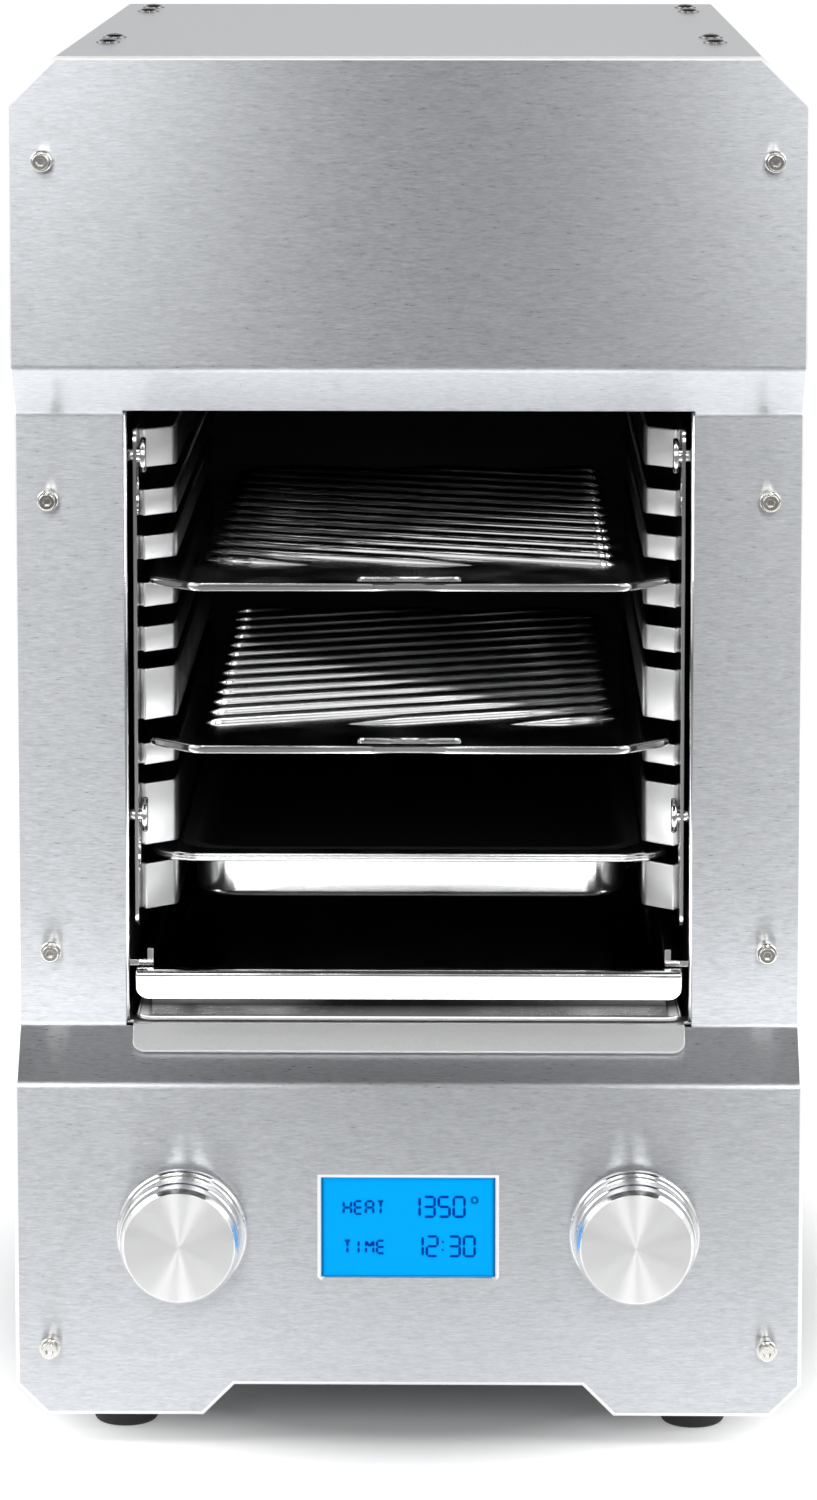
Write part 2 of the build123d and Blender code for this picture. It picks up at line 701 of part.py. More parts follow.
# Heater reflector: an inverted tray whose flange rests on the chamber walls
reflector_mid = (REFLECTOR_FRONT_Y + REFLECTOR_BACK_Y) / 2
reflector_length = REFLECTOR_BACK_Y - REFLECTOR_FRONT_Y
liner_front = WALL_FRONT_Y + LINER_FRONT_GAP
liner_length = CHAMBER_BACK_Y + SHEET_T - liner_front
element_ends = [(side * (ELEMENT_PASSES - 1) * ELEMENT_PITCH / 2, ELEMENT_Z) for side, _ in SIDES]
with BuildPart() as heater_reflector:
    with BuildSketch(Plane.XY.offset(WALL_TOP)):
        with Locations((0, liner_front + liner_length / 2)):
            Rectangle(2 * LINER_HALF, liner_length)
    extrude(amount=SHEET_T)
    with BuildSketch(Plane.XY.offset(WALL_TOP)):
        with Locations((0, reflector_mid)):
            Rectangle(2 * REFLECTOR_HALF, reflector_length)
    extrude(amount=REFLECTOR_TOP - WALL_TOP)
    with BuildSketch(Plane.XY.offset(WALL_TOP)):
        with Locations((0, reflector_mid)):
            Rectangle(2 * (REFLECTOR_HALF - SHEET_T), reflector_length - 2 * SHEET_T)
    extrude(amount=REFLECTOR_TOP - SHEET_T - WALL_TOP, mode=Mode.SUBTRACT)
    with BuildSketch(facing_front(REFLECTOR_BACK_Y)):
        with Locations(*element_ends):
            Circle(ELEMENT_HOLE_R)
    extrude(amount=2 * SHEET_T, mode=Mode.SUBTRACT)
keep(heater_reflector, "heater_reflector")

# Heating element: one tube that runs to and fro under the reflector
pass_xs = [(i - (ELEMENT_PASSES - 1) / 2) * ELEMENT_PITCH for i in range(ELEMENT_PASSES)]
element_route = [(pass_xs[0], ELEMENT_END_Y)]
for index, (x, next_x) in enumerate(zip(pass_xs, pass_xs[1:])):
    turn_y = ELEMENT_FRONT_Y if index % 2 == 0 else ELEMENT_TURN_Y
    element_route += [(x, turn_y), (next_x, turn_y)]
element_route.append((pass_xs[-1], ELEMENT_END_Y))
with BuildPart() as heating_element:
    with BuildLine(Plane.XY.offset(ELEMENT_Z)) as route:
        FilletPolyline(*element_route, radius=ELEMENT_PITCH / 2 - ELEMENT_TURN_GAP)
    with BuildSketch(Plane(route.line @ 0, z_dir=route.line % 0)):
        Circle(ELEMENT_R)
    sweep()
keep(heating_element, "heating_element")

# Element supports: cross bars on posts that hang from the reflector's roof
with BuildPart() as element_supports:
    bar_z = ELEMENT_Z + ELEMENT_R
    with BuildSketch(Plane.XY.offset(bar_z)):
        for y in SUPPORT_YS:
            with Locations((0, y)):
                Rectangle(2 * pass_xs[-1] + SUPPORT_BAR[0], SUPPORT_BAR[0])
    extrude(amount=SUPPORT_BAR[1])
    with BuildSketch(Plane.XY.offset(bar_z)):
        for y in SUPPORT_YS:
            with Locations((0, y)):
                with GridLocations(SUPPORT_POST_SPACING, 0, 2, 1):
                    Rectangle(SUPPORT_POST, SUPPORT_POST)
    extrude(amount=REFLECTOR_TOP - SHEET_T - bar_z)
keep(element_supports, "element_supports")

with BuildPart() as element_terminals:
    with BuildSketch(facing_front(REFLECTOR_BACK_Y)):
        with Locations(*element_ends):
            Circle(TERMINAL_FLANGE[0])
            Circle(TERMINAL_BORE_R, mode=Mode.SUBTRACT)
    extrude(amount=-TERMINAL_FLANGE[1])
    with BuildSketch(facing_front(REFLECTOR_BACK_Y + TERMINAL_FLANGE[1])):
        with Locations(*element_ends):
            Circle(TERMINAL_BODY[0])
            Circle(TERMINAL_BORE_R, mode=Mode.SUBTRACT)
    extrude(amount=-TERMINAL_BODY[1])
keep(element_terminals, "element_terminals")

# Ceramic-fibre insulation around the chamber
for side, name in SIDES:
    with BuildPart() as insulation_side:
        with BuildSketch(Plane.XY.offset(FLOOR_TOP + BLANKET_GAP / 2)):
            with Locations((side * SIDE_BLANKET_X, (BLANKET_FRONT_Y + CHAMBER_BACK_Y) / 2)):
                Rectangle(SIDE_BLANKET_T, CHAMBER_BACK_Y - BLANKET_FRONT_Y - BLANKET_GAP)
        extrude(amount=WALL_TOP - FLOOR_TOP - BLANKET_GAP)
    keep(insulation_side, f"insulation_{name}")

with BuildPart() as insulation_top:
    with BuildSketch(Plane.XY.offset(REFLECTOR_TOP)):
        Rectangle(*TOP_BLANKET[:2])
    extrude(amount=TOP_BLANKET[2])
keep(insulation_top, "insulation_top")

with BuildPart() as insulation_rear:
    with BuildSketch(facing_front(CHAMBER_BACK_Y + SHEET_T)):
        with Locations((0, (FLOOR_TOP + WALL_TOP) / 2)):
            Rectangle(2 * LINER_HALF, WALL_TOP - FLOOR_TOP - 2 * BLANKET_GAP)
        with Locations((0, PROBE_Z)):
            Circle(REAR_BLANKET_HOLE_R, mode=Mode.SUBTRACT)
    extrude(amount=-REAR_BLANKET_T)
keep(insulation_rear, "insulation_rear")

with BuildPart() as insulation_floor:
    with BuildSketch(Plane.XY.offset(SHIELD_Z + SHEET_T)):
        with Locations((0, FLOOR_BLANKET_Y)):
            Rectangle(*FLOOR_BLANKET)
    extrude(amount=FLOOR_BOTTOM - SHIELD_Z - SHEET_T)
keep(insulation_floor, "insulation_floor")

# Heat shield between the chamber and the control bay
with BuildPart() as heat_shield:
    with BuildSketch(Plane.XY.offset(SHIELD_Z)):
        with Locations((0, SHIELD_Y)):
            Rectangle(2 * COVER_INNER, SHIELD_LENGTH)
    extrude(amount=SHEET_T)
    with BuildSketch(Plane.XY.offset(SHIELD_Z)):
        for side, _ in SIDES:
            with Locations((side * (COVER_INNER - SHEET_T / 2), SHIELD_Y)):
                Rectangle(SHEET_T, SHIELD_LENGTH)
    extrude(amount=-SHIELD_FLANGE)
keep(heat_shield, "heat_shield")

# Hanger brackets between the cover's top and the reflector's flange, held by domed rivets
bracket_top = COVER_TOP - SHEET_T
bracket_bottom = WALL_TOP + SHEET_T
bracket_in, bracket_out = BRACKET_XS
with BuildPart() as hanger_brackets:
    for side, _ in SIDES:
        for y in BRACKET_YS:
            with BuildSketch(facing_front(y)):
                with Locations((side * (bracket_in + SHEET_T / 2), (bracket_top + bracket_bottom) / 2)):
                    Rectangle(SHEET_T, bracket_top - bracket_bottom)
                for z in (bracket_top - SHEET_T / 2, bracket_bottom + SHEET_T / 2):
                    with Locations((side * (bracket_in + bracket_out) / 2, z)):
                        Rectangle(bracket_out - bracket_in, SHEET_T)
            extrude(amount=BRACKET_LENGTH / 2, both=True)
    with BuildSketch(Plane.XY.offset(bracket_top - SHEET_T)):
        with Locations(*rivet_places):
            Circle(RIVET_HOLE_R)
    extrude(amount=SHEET_T, mode=Mode.SUBTRACT)
keep(hanger_brackets, "hanger_brackets")

with BuildPart() as top_rivets:
    with BuildSketch(Plane.XY.offset(COVER_TOP)):
        with Locations(*rivet_places):
            Circle(RIVET_HEAD_R)
    extrude(amount=RIVET_HEAD_H)
    fillet(edges().group_by(Axis.Z)[-1], radius=RIVET_ROUND)
    with BuildSketch(Plane.XY.offset(COVER_TOP)):
        with Locations(*rivet_places):
            Circle(RIVET_R)
    extrude(amount=-RIVET_LENGTH)
keep(top_rivets, "top_rivets")

# Racks: a hanger plate on keyhole slots, with nine U-shaped rungs that leave eight slots
rack_mid = (RACK_FRONT_Y + RACK_BACK_Y) / 2
stud_places = [(y, z) for y in STUD_YS for z in STUD_ZS]
lead_rate = RUNG_LEAD / (RACK_INNER - RUNG_INNER)
root = 2 * RUNG_T
for side, name in SIDES:
    with BuildPart() as rack_plate:
        with BuildSketch(Plane.YZ.offset(side * RACK_INNER)):
            with Locations((rack_mid, (RACK_BOTTOM + RACK_TOP) / 2)):
                RectangleRounded(RACK_BACK_Y - RACK_FRONT_Y, RACK_TOP - RACK_BOTTOM, RACK_CORNER_R)
            with Locations(*stud_places):
                Circle(STUD_R + KEYHOLE_GAP, mode=Mode.SUBTRACT)
            with Locations(*[(y, z - KEYHOLE_DROP / 2) for y, z in stud_places]):
                Rectangle(2 * (STUD_R + KEYHOLE_GAP), KEYHOLE_DROP, mode=Mode.SUBTRACT)
            with Locations(*[(y, z - KEYHOLE_DROP) for y, z in stud_places]):
                Circle(KEYHOLE_R, mode=Mode.SUBTRACT)
        extrude(amount=side * (RACK_OUTER - RACK_INNER))
    keep(rack_plate, f"rack_plate_{name}")

    with BuildPart() as rack_rungs:
        for low, high in RUNG_ZS:
            with BuildSketch(Plane.XY.offset(low)):
                with BuildLine():
                    FilletPolyline(
                        (side * (RACK_INNER + root), RUNG_FRONT_Y - root * lead_rate),
                        (side * RUNG_INNER, RUNG_FRONT_Y + RUNG_LEAD), (side * RUNG_INNER, RUNG_BACK_Y - RUNG_LEAD),
                        (side * (RACK_INNER + root), RUNG_BACK_Y + root * lead_rate), radius=RUNG_BEND_R,
                    )
                    offset(amount=RUNG_T, side=Side.LEFT if side < 0 else Side.RIGHT)
                make_face()
                with Locations((side * (RACK_INNER + RUNG_TRIM[0] / 2), 0)):
                    Rectangle(*RUNG_TRIM, mode=Mode.SUBTRACT)
            extrude(amount=high - low)
    keep(rack_rungs, f"rack_rungs_{name}")

with BuildPart() as rack_studs:
    for side, _ in SIDES:
        with BuildSketch(Plane.YZ.offset(side * WALL_INNER)):
            with Locations(*stud_places):
                Circle(STUD_R)
        extrude(amount=-side * (WALL_INNER - STUD_HEAD_INNER - STUD_HEAD_T))
        with BuildSketch(Plane.YZ.offset(side * STUD_HEAD_INNER)):
            with Locations(*stud_places):
                Circle(STUD_HEAD_R)
        extrude(amount=side * STUD_HEAD_T)
    head_rims = edges().filter_by(GeomType.CIRCLE).filter_by(lambda e: e.radius > STUD_HEAD_R - 1)
    fillet(head_rims, radius=STUD_HEAD_ROUND)
keep(rack_studs, "rack_studs")

# Drip tray guides: small angles on the chamber walls
for side, name in SIDES:
    with BuildPart() as tray_guide:
        with BuildSketch(facing_front(GUIDE_YS[1])):
            with Locations((side * (GUIDE_INNER + WALL_INNER) / 2, GUIDE_Z + GUIDE_T / 2)):
                Rectangle(WALL_INNER - GUIDE_INNER, GUIDE_T)
            with Locations((side * (GUIDE_INNER + GUIDE_LIP_T / 2), (GUIDE_Z + GUIDE_LIP_TOP) / 2)):
                Rectangle(GUIDE_LIP_T, GUIDE_LIP_TOP - GUIDE_Z)
        extrude(amount=GUIDE_YS[1] - GUIDE_YS[0])
    keep(tray_guide, f"tray_guide_{name}")

# Grill plates: flat, with a grip slot, cut front corners and ribs that slant opposite ways
grill_mid = GRILL_FRONT_Y + GRILL_LENGTH / 2
rib_mid = GRILL_FRONT_Y + RIB_SETBACK + RIB_FIELD[1] / 2
rib_rise = RIB_FIELD[0] * math.tan(math.radians(RIB_ANGLE))
rib_first = GRILL_FRONT_Y + RIB_SETBACK + RIB_START - rib_rise / 2
rib_count = math.floor((RIB_FIELD[1] + rib_rise - RIB_START) / RIB_PITCH)
rib_length = RIB_FIELD[0] / math.cos(math.radians(RIB_ANGLE))
rib_places = [(0, rib_first + i * RIB_PITCH) for i in range(rib_count)]
rib_end = rib_length / 2
rib_shoulder = rib_end - RIB_POINT
rib_outline = [
    (-rib_end, 0), (-rib_shoulder, -RIB_WIDTH / 2), (rib_shoulder, -RIB_WIDTH / 2),
    (rib_end, 0), (rib_shoulder, RIB_WIDTH / 2), (-rib_shoulder, RIB_WIDTH / 2),
]
for z, slant, name in ((UPPER_GRILL_Z, -1, "upper"), (LOWER_GRILL_Z, 1, "lower")):
    with BuildPart() as grill_plate:
        with BuildSketch(Plane.XY.offset(z)):
            with Locations((0, grill_mid)):
                Rectangle(2 * GRILL_HALF, GRILL_LENGTH)
            chamfer(vertices().group_by(Axis.Y)[0], length=GRILL_CHAMFER)
            with Locations((0, GRILL_FRONT_Y + GRIP_SETBACK)):
                RectangleRounded(*GRIP_SLOT, GRIP_CORNER_R, mode=Mode.SUBTRACT)
        extrude(amount=GRILL_T)
        with BuildSketch(Plane.XY.offset(z + GRILL_T)):
            with Locations(*[Location((x, y), slant * RIB_ANGLE) for x, y in rib_places]):
                Polygon(*rib_outline, align=None)
            with Locations((0, rib_mid)):
                Rectangle(*RIB_FIELD, mode=Mode.INTERSECT)
        extrude(amount=RIB_HEIGHT, taper=RIB_TAPER)
    keep(grill_plate, f"{name}_grill_plate")

# Pan: a shallow drawn tray with a beaded rim
pan_mid = PAN_FRONT_Y + PAN_LENGTH / 2
rim_top = PAN_Z + RIM_H
with BuildPart() as pan_inside:
    with BuildSketch(Plane.XY.offset(rim_top)):
        with Locations((0, pan_mid)):
            RectangleRounded(PAN_BODY[0] - 2 * PAN_WALL, PAN_BODY[1] - 2 * PAN_WALL, PAN_BODY_R - PAN_WALL)
    extrude(amount=PAN_WALL - PAN_DEPTH, taper=PAN_DRAFT)
    fillet(edges().group_by(Axis.Z)[0], radius=PAN_BEND_R - PAN_WALL)
with BuildPart() as pan:
    with BuildSketch(Plane.XY.offset(rim_top)):
        with Locations((0, pan_mid)):
            RectangleRounded(*PAN_BODY, PAN_BODY_R)
    extrude(amount=-PAN_DEPTH, taper=PAN_DRAFT)
    fillet(edges().group_by(Axis.Z)[0], radius=PAN_BEND_R)
    add(pan_inside.part, mode=Mode.SUBTRACT)
    with BuildSketch(Plane.XY.offset(rim_top)):
        with Locations((0, pan_mid)):
            RectangleRounded(2 * GRILL_HALF, PAN_LENGTH, PAN_CORNER_R)
            RectangleRounded(
                PAN_BODY[0] - 2 * RIM_LAP, PAN_BODY[1] - 2 * RIM_LAP, PAN_BODY_R - RIM_LAP,
                mode=Mode.SUBTRACT,
            )
    extrude(amount=-PAN_WALL)
    with BuildSketch(Plane.XY.offset(rim_top)):
        with Locations((0, pan_mid)):
            RectangleRounded(2 * GRILL_HALF, PAN_LENGTH, PAN_CORNER_R)
            RectangleRounded(
                2 * (GRILL_HALF - RIM_BEAD), PAN_LENGTH - 2 * RIM_BEAD, PAN_CORNER_R - RIM_BEAD,
                mode=Mode.SUBTRACT,
            )
    extrude(amount=-RIM_H)
keep(pan, "pan")

# Drip tray: an open box whose front rim folds forward and down as a pull flap
flap_y = TRAY_FRONT_Y - FLAP_REACH
tray_mid = (TRAY_FRONT_Y + TRAY_BACK_Y) / 2
with BuildPart() as drip_tray:
    with BuildSketch(Plane.XY.offset(TRAY_Z)):
        with Locations((0, tray_mid)):
            RectangleRounded(2 * TRAY_HALF, TRAY_BACK_Y - TRAY_FRONT_Y, TRAY_CORNER_R)
    extrude(amount=TRAY_WALL_TOP - TRAY_Z)
    fillet(edges().group_by(Axis.Z)[0], radius=TRAY_BEND_R)
    offset(amount=-TRAY_WALL, openings=faces().sort_by(Axis.Z)[-1])
    with BuildSketch(Plane.YZ):
        with BuildLine():
            FilletPolyline(
                (TRAY_FRONT_Y, TRAY_WALL_TOP - FLAP_ROOT), (TRAY_FRONT_Y, FLAP_TOP),
                (TRAY_FRONT_Y - FLAP_LEDGE, FLAP_TOP), (flap_y, FLAP_BOTTOM), radius=FLAP_BEND_R,
            )
            offset(amount=TRAY_WALL, side=Side.RIGHT)
        make_face()
    extrude(amount=TRAY_HALF - FLAP_INSET, both=True)
    short_edges = edges().filter_by(lambda e: abs(e.length - TRAY_WALL) < 0.01)
    fillet(short_edges.filter_by(lambda e: e.center().Y < flap_y + TRAY_WALL), radius=FLAP_CORNER_R)
keep(drip_tray, "drip_tray")

# Display: a clear window pressed against the back of the faceplate, with the lit module behind it
module_size = [length + 2 * MODULE_MARGIN for length in WINDOW]
with BuildPart() as display_lens:
    with BuildSketch(facing_front(PANEL_BACK_Y)):
        with Locations((0, WINDOW_Z)):
            Rectangle(WINDOW[0] - 2 * LENS_GAP, WINDOW[1] - 2 * LENS_GAP)
    extrude(amount=PLATE_T - LENS_SETBACK)
    with BuildSketch(facing_front(PANEL_BACK_Y)):
        with Locations((0, WINDOW_Z)):
            Rectangle(WINDOW[0] + 2 * LENS_FLANGE, WINDOW[1] + 2 * LENS_FLANGE)
    extrude(amount=-LENS_FLANGE_T)
keep(display_lens, "display_lens")

with BuildPart() as lcd_module:
    with BuildSketch(facing_front(BOARD_Y)):
        with Locations((0, WINDOW_Z)):
            Rectangle(*module_size)
    extrude(amount=ENCODER_DEPTH - MODULE_SETBACK)
keep(lcd_module, "lcd_module")

with BuildPart() as display_frame:
    with BuildSketch(facing_front(BOARD_Y)):
        with Locations((0, WINDOW_Z)):
            Rectangle(WINDOW[0] + 2 * SURROUND_MARGIN, WINDOW[1] + 2 * SURROUND_MARGIN)
            Rectangle(*[length + 2 * MODULE_GAP for length in module_size], mode=Mode.SUBTRACT)
    extrude(amount=ENCODER_DEPTH)
keep(display_frame, "display_frame")

# Control board on standoffs behind the lower panel
with BuildPart() as control_board:
    with BuildSketch(facing_front(BOARD_Y)):
        with Locations((0, sum(CONTROL_ZS) / 2)):
            Rectangle(2 * CONTROL_HALF, CONTROL_ZS[1] - CONTROL_ZS[0])
    extrude(amount=-BOARD_T)
    with BuildSketch(facing_front(BOARD_Y + BOARD_T)):
        with Locations(*CHIP_PLACES):
            Rectangle(*CHIP_SIZE)
        with Locations(PROCESSOR_PLACE):
            Rectangle(PROCESSOR_SIZE, PROCESSOR_SIZE)
    extrude(amount=-CHIP_H)
keep(control_board, "control_board")

with BuildPart() as board_standoffs:
    with BuildSketch(facing_front(BOARD_Y)):
        with Locations(*[(side * STANDOFF_X, z) for side, _ in SIDES for z in STANDOFF_ZS]):
            Circle(STANDOFF_R)
    extrude(amount=ENCODER_DEPTH)
    with BuildSketch(Plane.XY.offset(BASE_Z + SHEET_T)):
        with Locations(POWER_PLACE):
            with GridLocations(POWER_POST_SPACING, POWER_POST_SPACING, 2, 2):
                Circle(STANDOFF_R)
    extrude(amount=POWER_Z - BASE_Z - SHEET_T)
keep(board_standoffs, "board_standoffs")

# Power board, relays and terminal block on the base pan
with BuildPart() as power_board:
    with BuildSketch(Plane.XY.offset(POWER_Z)):
        with Locations(POWER_PLACE):
            Rectangle(POWER_SIZE, POWER_SIZE)
    extrude(amount=BOARD_T)
    with BuildSketch(Plane.XY.offset(POWER_Z + BOARD_T)):
        with Locations(CAPACITOR_PLACE):
            Rectangle(*CAPACITOR_SIZE)
        with Locations(CONNECTOR_PLACE):
            Rectangle(*CONNECTOR_SIZE)
    extrude(amount=CONNECTOR_H)
keep(power_board, "power_board")

with BuildPart() as relays:
    with BuildSketch(Plane.XY.offset(POWER_Z + BOARD_T)):
        with Locations(*RELAY_PLACES):
            Rectangle(*RELAY_SIZE)
    extrude(amount=RELAY_H)
    fillet(edges().filter_by(Axis.Z), radius=RELAY_CORNER_R)
keep(relays, "relays")

with BuildPart() as terminal_block:
    with BuildSketch(Plane.XY.offset(BASE_Z + SHEET_T)):
        with Locations(BLOCK_PLACE):
            Rectangle(*BLOCK_SIZE)
    extrude(amount=BLOCK_H)
    with BuildSketch(Plane.XY.offset(BASE_Z + SHEET_T + BLOCK_H)):
        with Locations(BLOCK_PLACE):
            with GridLocations(*BLOCK_HOLE_PITCH, 3, 2):
                Circle(BLOCK_HOLE_R)
    extrude(amount=-BLOCK_HOLE_DEPTH, mode=Mode.SUBTRACT)
keep(terminal_block, "terminal_block")

# Thermal cut-out under the heat shield
with BuildPart() as thermal_cutout:
    with BuildSketch(Plane.XY.offset(SHIELD_Z)):
        with Locations(CUTOUT_PLACE):
            SlotOverall(*CUTOUT_TAB[:2])
    extrude(amount=-CUTOUT_TAB[2])
    with BuildSketch(Plane.XY.offset(SHIELD_Z - CUTOUT_TAB[2])):
        with Locations(CUTOUT_PLACE):
            Circle(CUTOUT_R)
    extrude(amount=-CUTOUT_H)
keep(thermal_cutout, "thermal_cutout")

# Thermocouple: a probe through the chamber's back with its flange and lead
with BuildPart() as thermocouple:
    with BuildLine() as probe_route:
        FilletPolyline(
            (0, PROBE_TIP_Y, PROBE_Z), (0, LEAD_Y, PROBE_Z), (0, LEAD_Y, PROBE_LEAD_Z),
            (*PROBE_LEAD_END, PROBE_LEAD_Z), radius=PROBE_BEND_R,
        )
    with BuildSketch(Plane(probe_route.line @ 0, z_dir=probe_route.line % 0)):
        Circle(PROBE_R)
    sweep()
    with BuildSketch(facing_front(CHAMBER_BACK_Y + SHEET_T)):
        with Locations((0, PROBE_Z)):
            Circle(PROBE_FLANGE[0])
    extrude(amount=-PROBE_FLANGE[1])
keep(thermocouple, "thermocouple")

# Heater leads from the element's cold ends down to the power board
with BuildPart() as heater_leads:
    for (x, z), end in zip(element_ends, LEAD_ENDS):
        with BuildLine() as lead_route:
            FilletPolyline(
                (x, ELEMENT_END_Y, z), (x, LEAD_Y, z), (x, LEAD_Y, LEAD_Z), (*end, LEAD_Z),
                (*end, LEAD_DROP_Z), radius=LEAD_BEND_R,
            )
        with BuildSketch(Plane(lead_route.line @ 0, z_dir=lead_route.line % 0)):
            Circle(LEAD_R)
        sweep()
keep(heater_leads, "heater_leads")

# Cord gland in the back panel
with BuildPart() as cord_gland:
    with BuildSketch(facing_front(GLAND_END_Y)):
        with Locations((GLAND_X, GLAND_Z)):
            Circle(GLAND_R)
    extrude(amount=GLAND_END_Y - BACK_Y - GLAND_HEX[1])
    fillet(edges().group_by(Axis.Y)[-1], radius=GLAND_ROUND)
    with BuildSketch(facing_front(BACK_Y + GLAND_HEX[1])):
        with Locations((GLAND_X, GLAND_Z)):
            RegularPolygon(GLAND_HEX[0], 6)
    extrude(amount=GLAND_HEX[1])
    with BuildSketch(facing_front(BACK_Y)):
        with Locations((GLAND_X, GLAND_Z)):
            Circle(GLAND_STEM[0])
    extrude(amount=GLAND_STEM[1])
    with BuildSketch(facing_front(BACK_Y - SHEET_T)):
        with Locations((GLAND_X, GLAND_Z)):
            RegularPolygon(GLAND_NUT[0], 6)
    extrude(amount=GLAND_NUT[1])
    with BuildSketch(facing_front(GLAND_END_Y)):
        with Locations((GLAND_X, GLAND_Z)):
            Circle(GLAND_BORE_R)
    extrude(amount=GLAND_END_Y - BACK_Y + GLAND_STEM[1], mode=Mode.SUBTRACT)
keep(cord_gland, "cord_gland")

# Rotary push controls: encoder, nut, rotor, shaft and knob at each side
flange_out = KNOB_GAP + KNOB_FLANGE_H
groove_out = flange_out + 1.0
socket_r = SHAFT_R + KNOB_SOCKET_GAP
cavity_out, cavity_r = KNOB_CAVITY
knob_profile = [
    (KNOB_GAP, cavity_r), (KNOB_GAP, KNOB_FLANGE_R), (flange_out - KNOB_GROOVE, KNOB_FLANGE_R),
    (flange_out, KNOB_FLANGE_R - KNOB_GROOVE), (flange_out, KNOB_BODY_R - KNOB_GROOVE),
    (groove_out, KNOB_BODY_R - KNOB_GROOVE), (groove_out + KNOB_GROOVE, KNOB_BODY_R),
    (KNOB_STEP_OUT, KNOB_BODY_R), (KNOB_STEP_OUT + KNOB_STEP, KNOB_BODY_R - KNOB_STEP),
    (KNOB_BEVEL_OUT, KNOB_BODY_R - KNOB_GROOVE), (KNOB_H, KNOB_FACE_R), (KNOB_H, 0.0),
    (KNOB_SOCKET_OUT, 0.0), (KNOB_SOCKET_OUT, socket_r), (cavity_out, socket_r), (cavity_out, cavity_r),
]
for side, name in SIDES:
    place = (side * KNOB_X, KNOB_Z)
    with BuildPart() as encoder:
        with BuildSketch(facing_front(BOARD_Y)):
            with Locations(place):
                Rectangle(ENCODER_SIZE, ENCODER_SIZE)
        extrude(amount=ENCODER_DEPTH)
        with BuildSketch(facing_front(PANEL_BACK_Y)):
            with Locations(place):
                Circle(BUSHING_R)
        extrude(amount=BUSHING_LENGTH)
        with BuildSketch(facing_front(BORE_END_Y)):
            with Locations(place):
                Circle(SHAFT_R + RUN_FIT)
        extrude(amount=BORE_END_Y - PANEL_BACK_Y + BUSHING_LENGTH, mode=Mode.SUBTRACT)
        with BuildSketch(facing_front(ROTOR_YS[1] + ROTOR_GAP)):
            with Locations(place):
                Circle(ROTOR_R + ROTOR_GAP)
        extrude(amount=ROTOR_YS[1] - ROTOR_YS[0] + 2 * ROTOR_GAP, mode=Mode.SUBTRACT)
    keep(encoder, f"encoder_{name}")

    with BuildPart() as encoder_rotor:
        with BuildSketch(facing_front(ROTOR_YS[1])):
            with Locations(place):
                Circle(ROTOR_R)
                Circle(SHAFT_R + RUN_FIT, mode=Mode.SUBTRACT)
        extrude(amount=ROTOR_YS[1] - ROTOR_YS[0])
    keep(encoder_rotor, f"encoder_rotor_{name}")

    with BuildPart() as encoder_shaft:
        with BuildSketch(facing_front(SHAFT_YS[1])):
            with Locations(place):
                Circle(SHAFT_R)
        extrude(amount=SHAFT_YS[1] - SHAFT_YS[0])
    keep(encoder_shaft, f"encoder_shaft_{name}")

    knob_axis = Axis((side * KNOB_X, 0, KNOB_Z), (0, 1, 0))
    with BuildPart() as knob:
        with BuildSketch(Plane.YZ.offset(side * KNOB_X)):
            with BuildLine():
                Polyline(*[(FRONT_Y - out, KNOB_Z + r) for out, r in knob_profile], close=True)
            make_face()
        revolve(axis=knob_axis)
    keep(knob, f"knob_{name}")

with BuildPart() as encoder_nuts:
    with BuildSketch(facing_front(FRONT_Y)):
        with Locations(*knob_places):
            RegularPolygon(NUT_R, 6)
            Circle(BUSHING_R + NUT_GAP, mode=Mode.SUBTRACT)
    extrude(amount=NUT_H)
keep(encoder_nuts, "encoder_nuts")
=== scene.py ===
import math

import bmesh
import bpy
import numpy as np
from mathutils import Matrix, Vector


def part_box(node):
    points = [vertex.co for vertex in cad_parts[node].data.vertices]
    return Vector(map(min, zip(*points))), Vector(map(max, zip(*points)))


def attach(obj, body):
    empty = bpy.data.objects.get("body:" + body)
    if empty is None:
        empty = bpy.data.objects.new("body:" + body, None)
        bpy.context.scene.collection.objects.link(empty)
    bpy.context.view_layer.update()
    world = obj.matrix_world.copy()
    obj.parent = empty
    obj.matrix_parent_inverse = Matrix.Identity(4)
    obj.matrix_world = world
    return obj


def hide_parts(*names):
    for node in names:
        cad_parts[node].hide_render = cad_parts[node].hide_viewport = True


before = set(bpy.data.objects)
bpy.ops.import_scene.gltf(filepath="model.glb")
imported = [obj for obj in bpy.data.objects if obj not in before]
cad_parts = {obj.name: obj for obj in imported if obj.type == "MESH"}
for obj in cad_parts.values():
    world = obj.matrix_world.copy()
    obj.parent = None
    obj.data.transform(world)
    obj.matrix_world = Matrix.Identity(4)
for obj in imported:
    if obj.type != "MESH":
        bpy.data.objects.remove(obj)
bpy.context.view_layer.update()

bl_info = {
    "name": "Electric broiler",
    "version": (1, 0, 0),
    "blender": (4, 5, 0),
    "location": "3D View > Sidebar > Broiler",
    "description": "Dresses the packed broiler with its finishes, shaped sheet metal, knobs and display",
    "category": "Object",
}

MM = 0.001
PLATE_LOW, PLATE_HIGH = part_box("front_plate")
FRONT = PLATE_LOW.y
LENS_LOW, LENS_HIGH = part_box("display_lens")
MODULE_LOW, MODULE_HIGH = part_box("lcd_module")
SIDES = (("left", -1), ("right", 1))

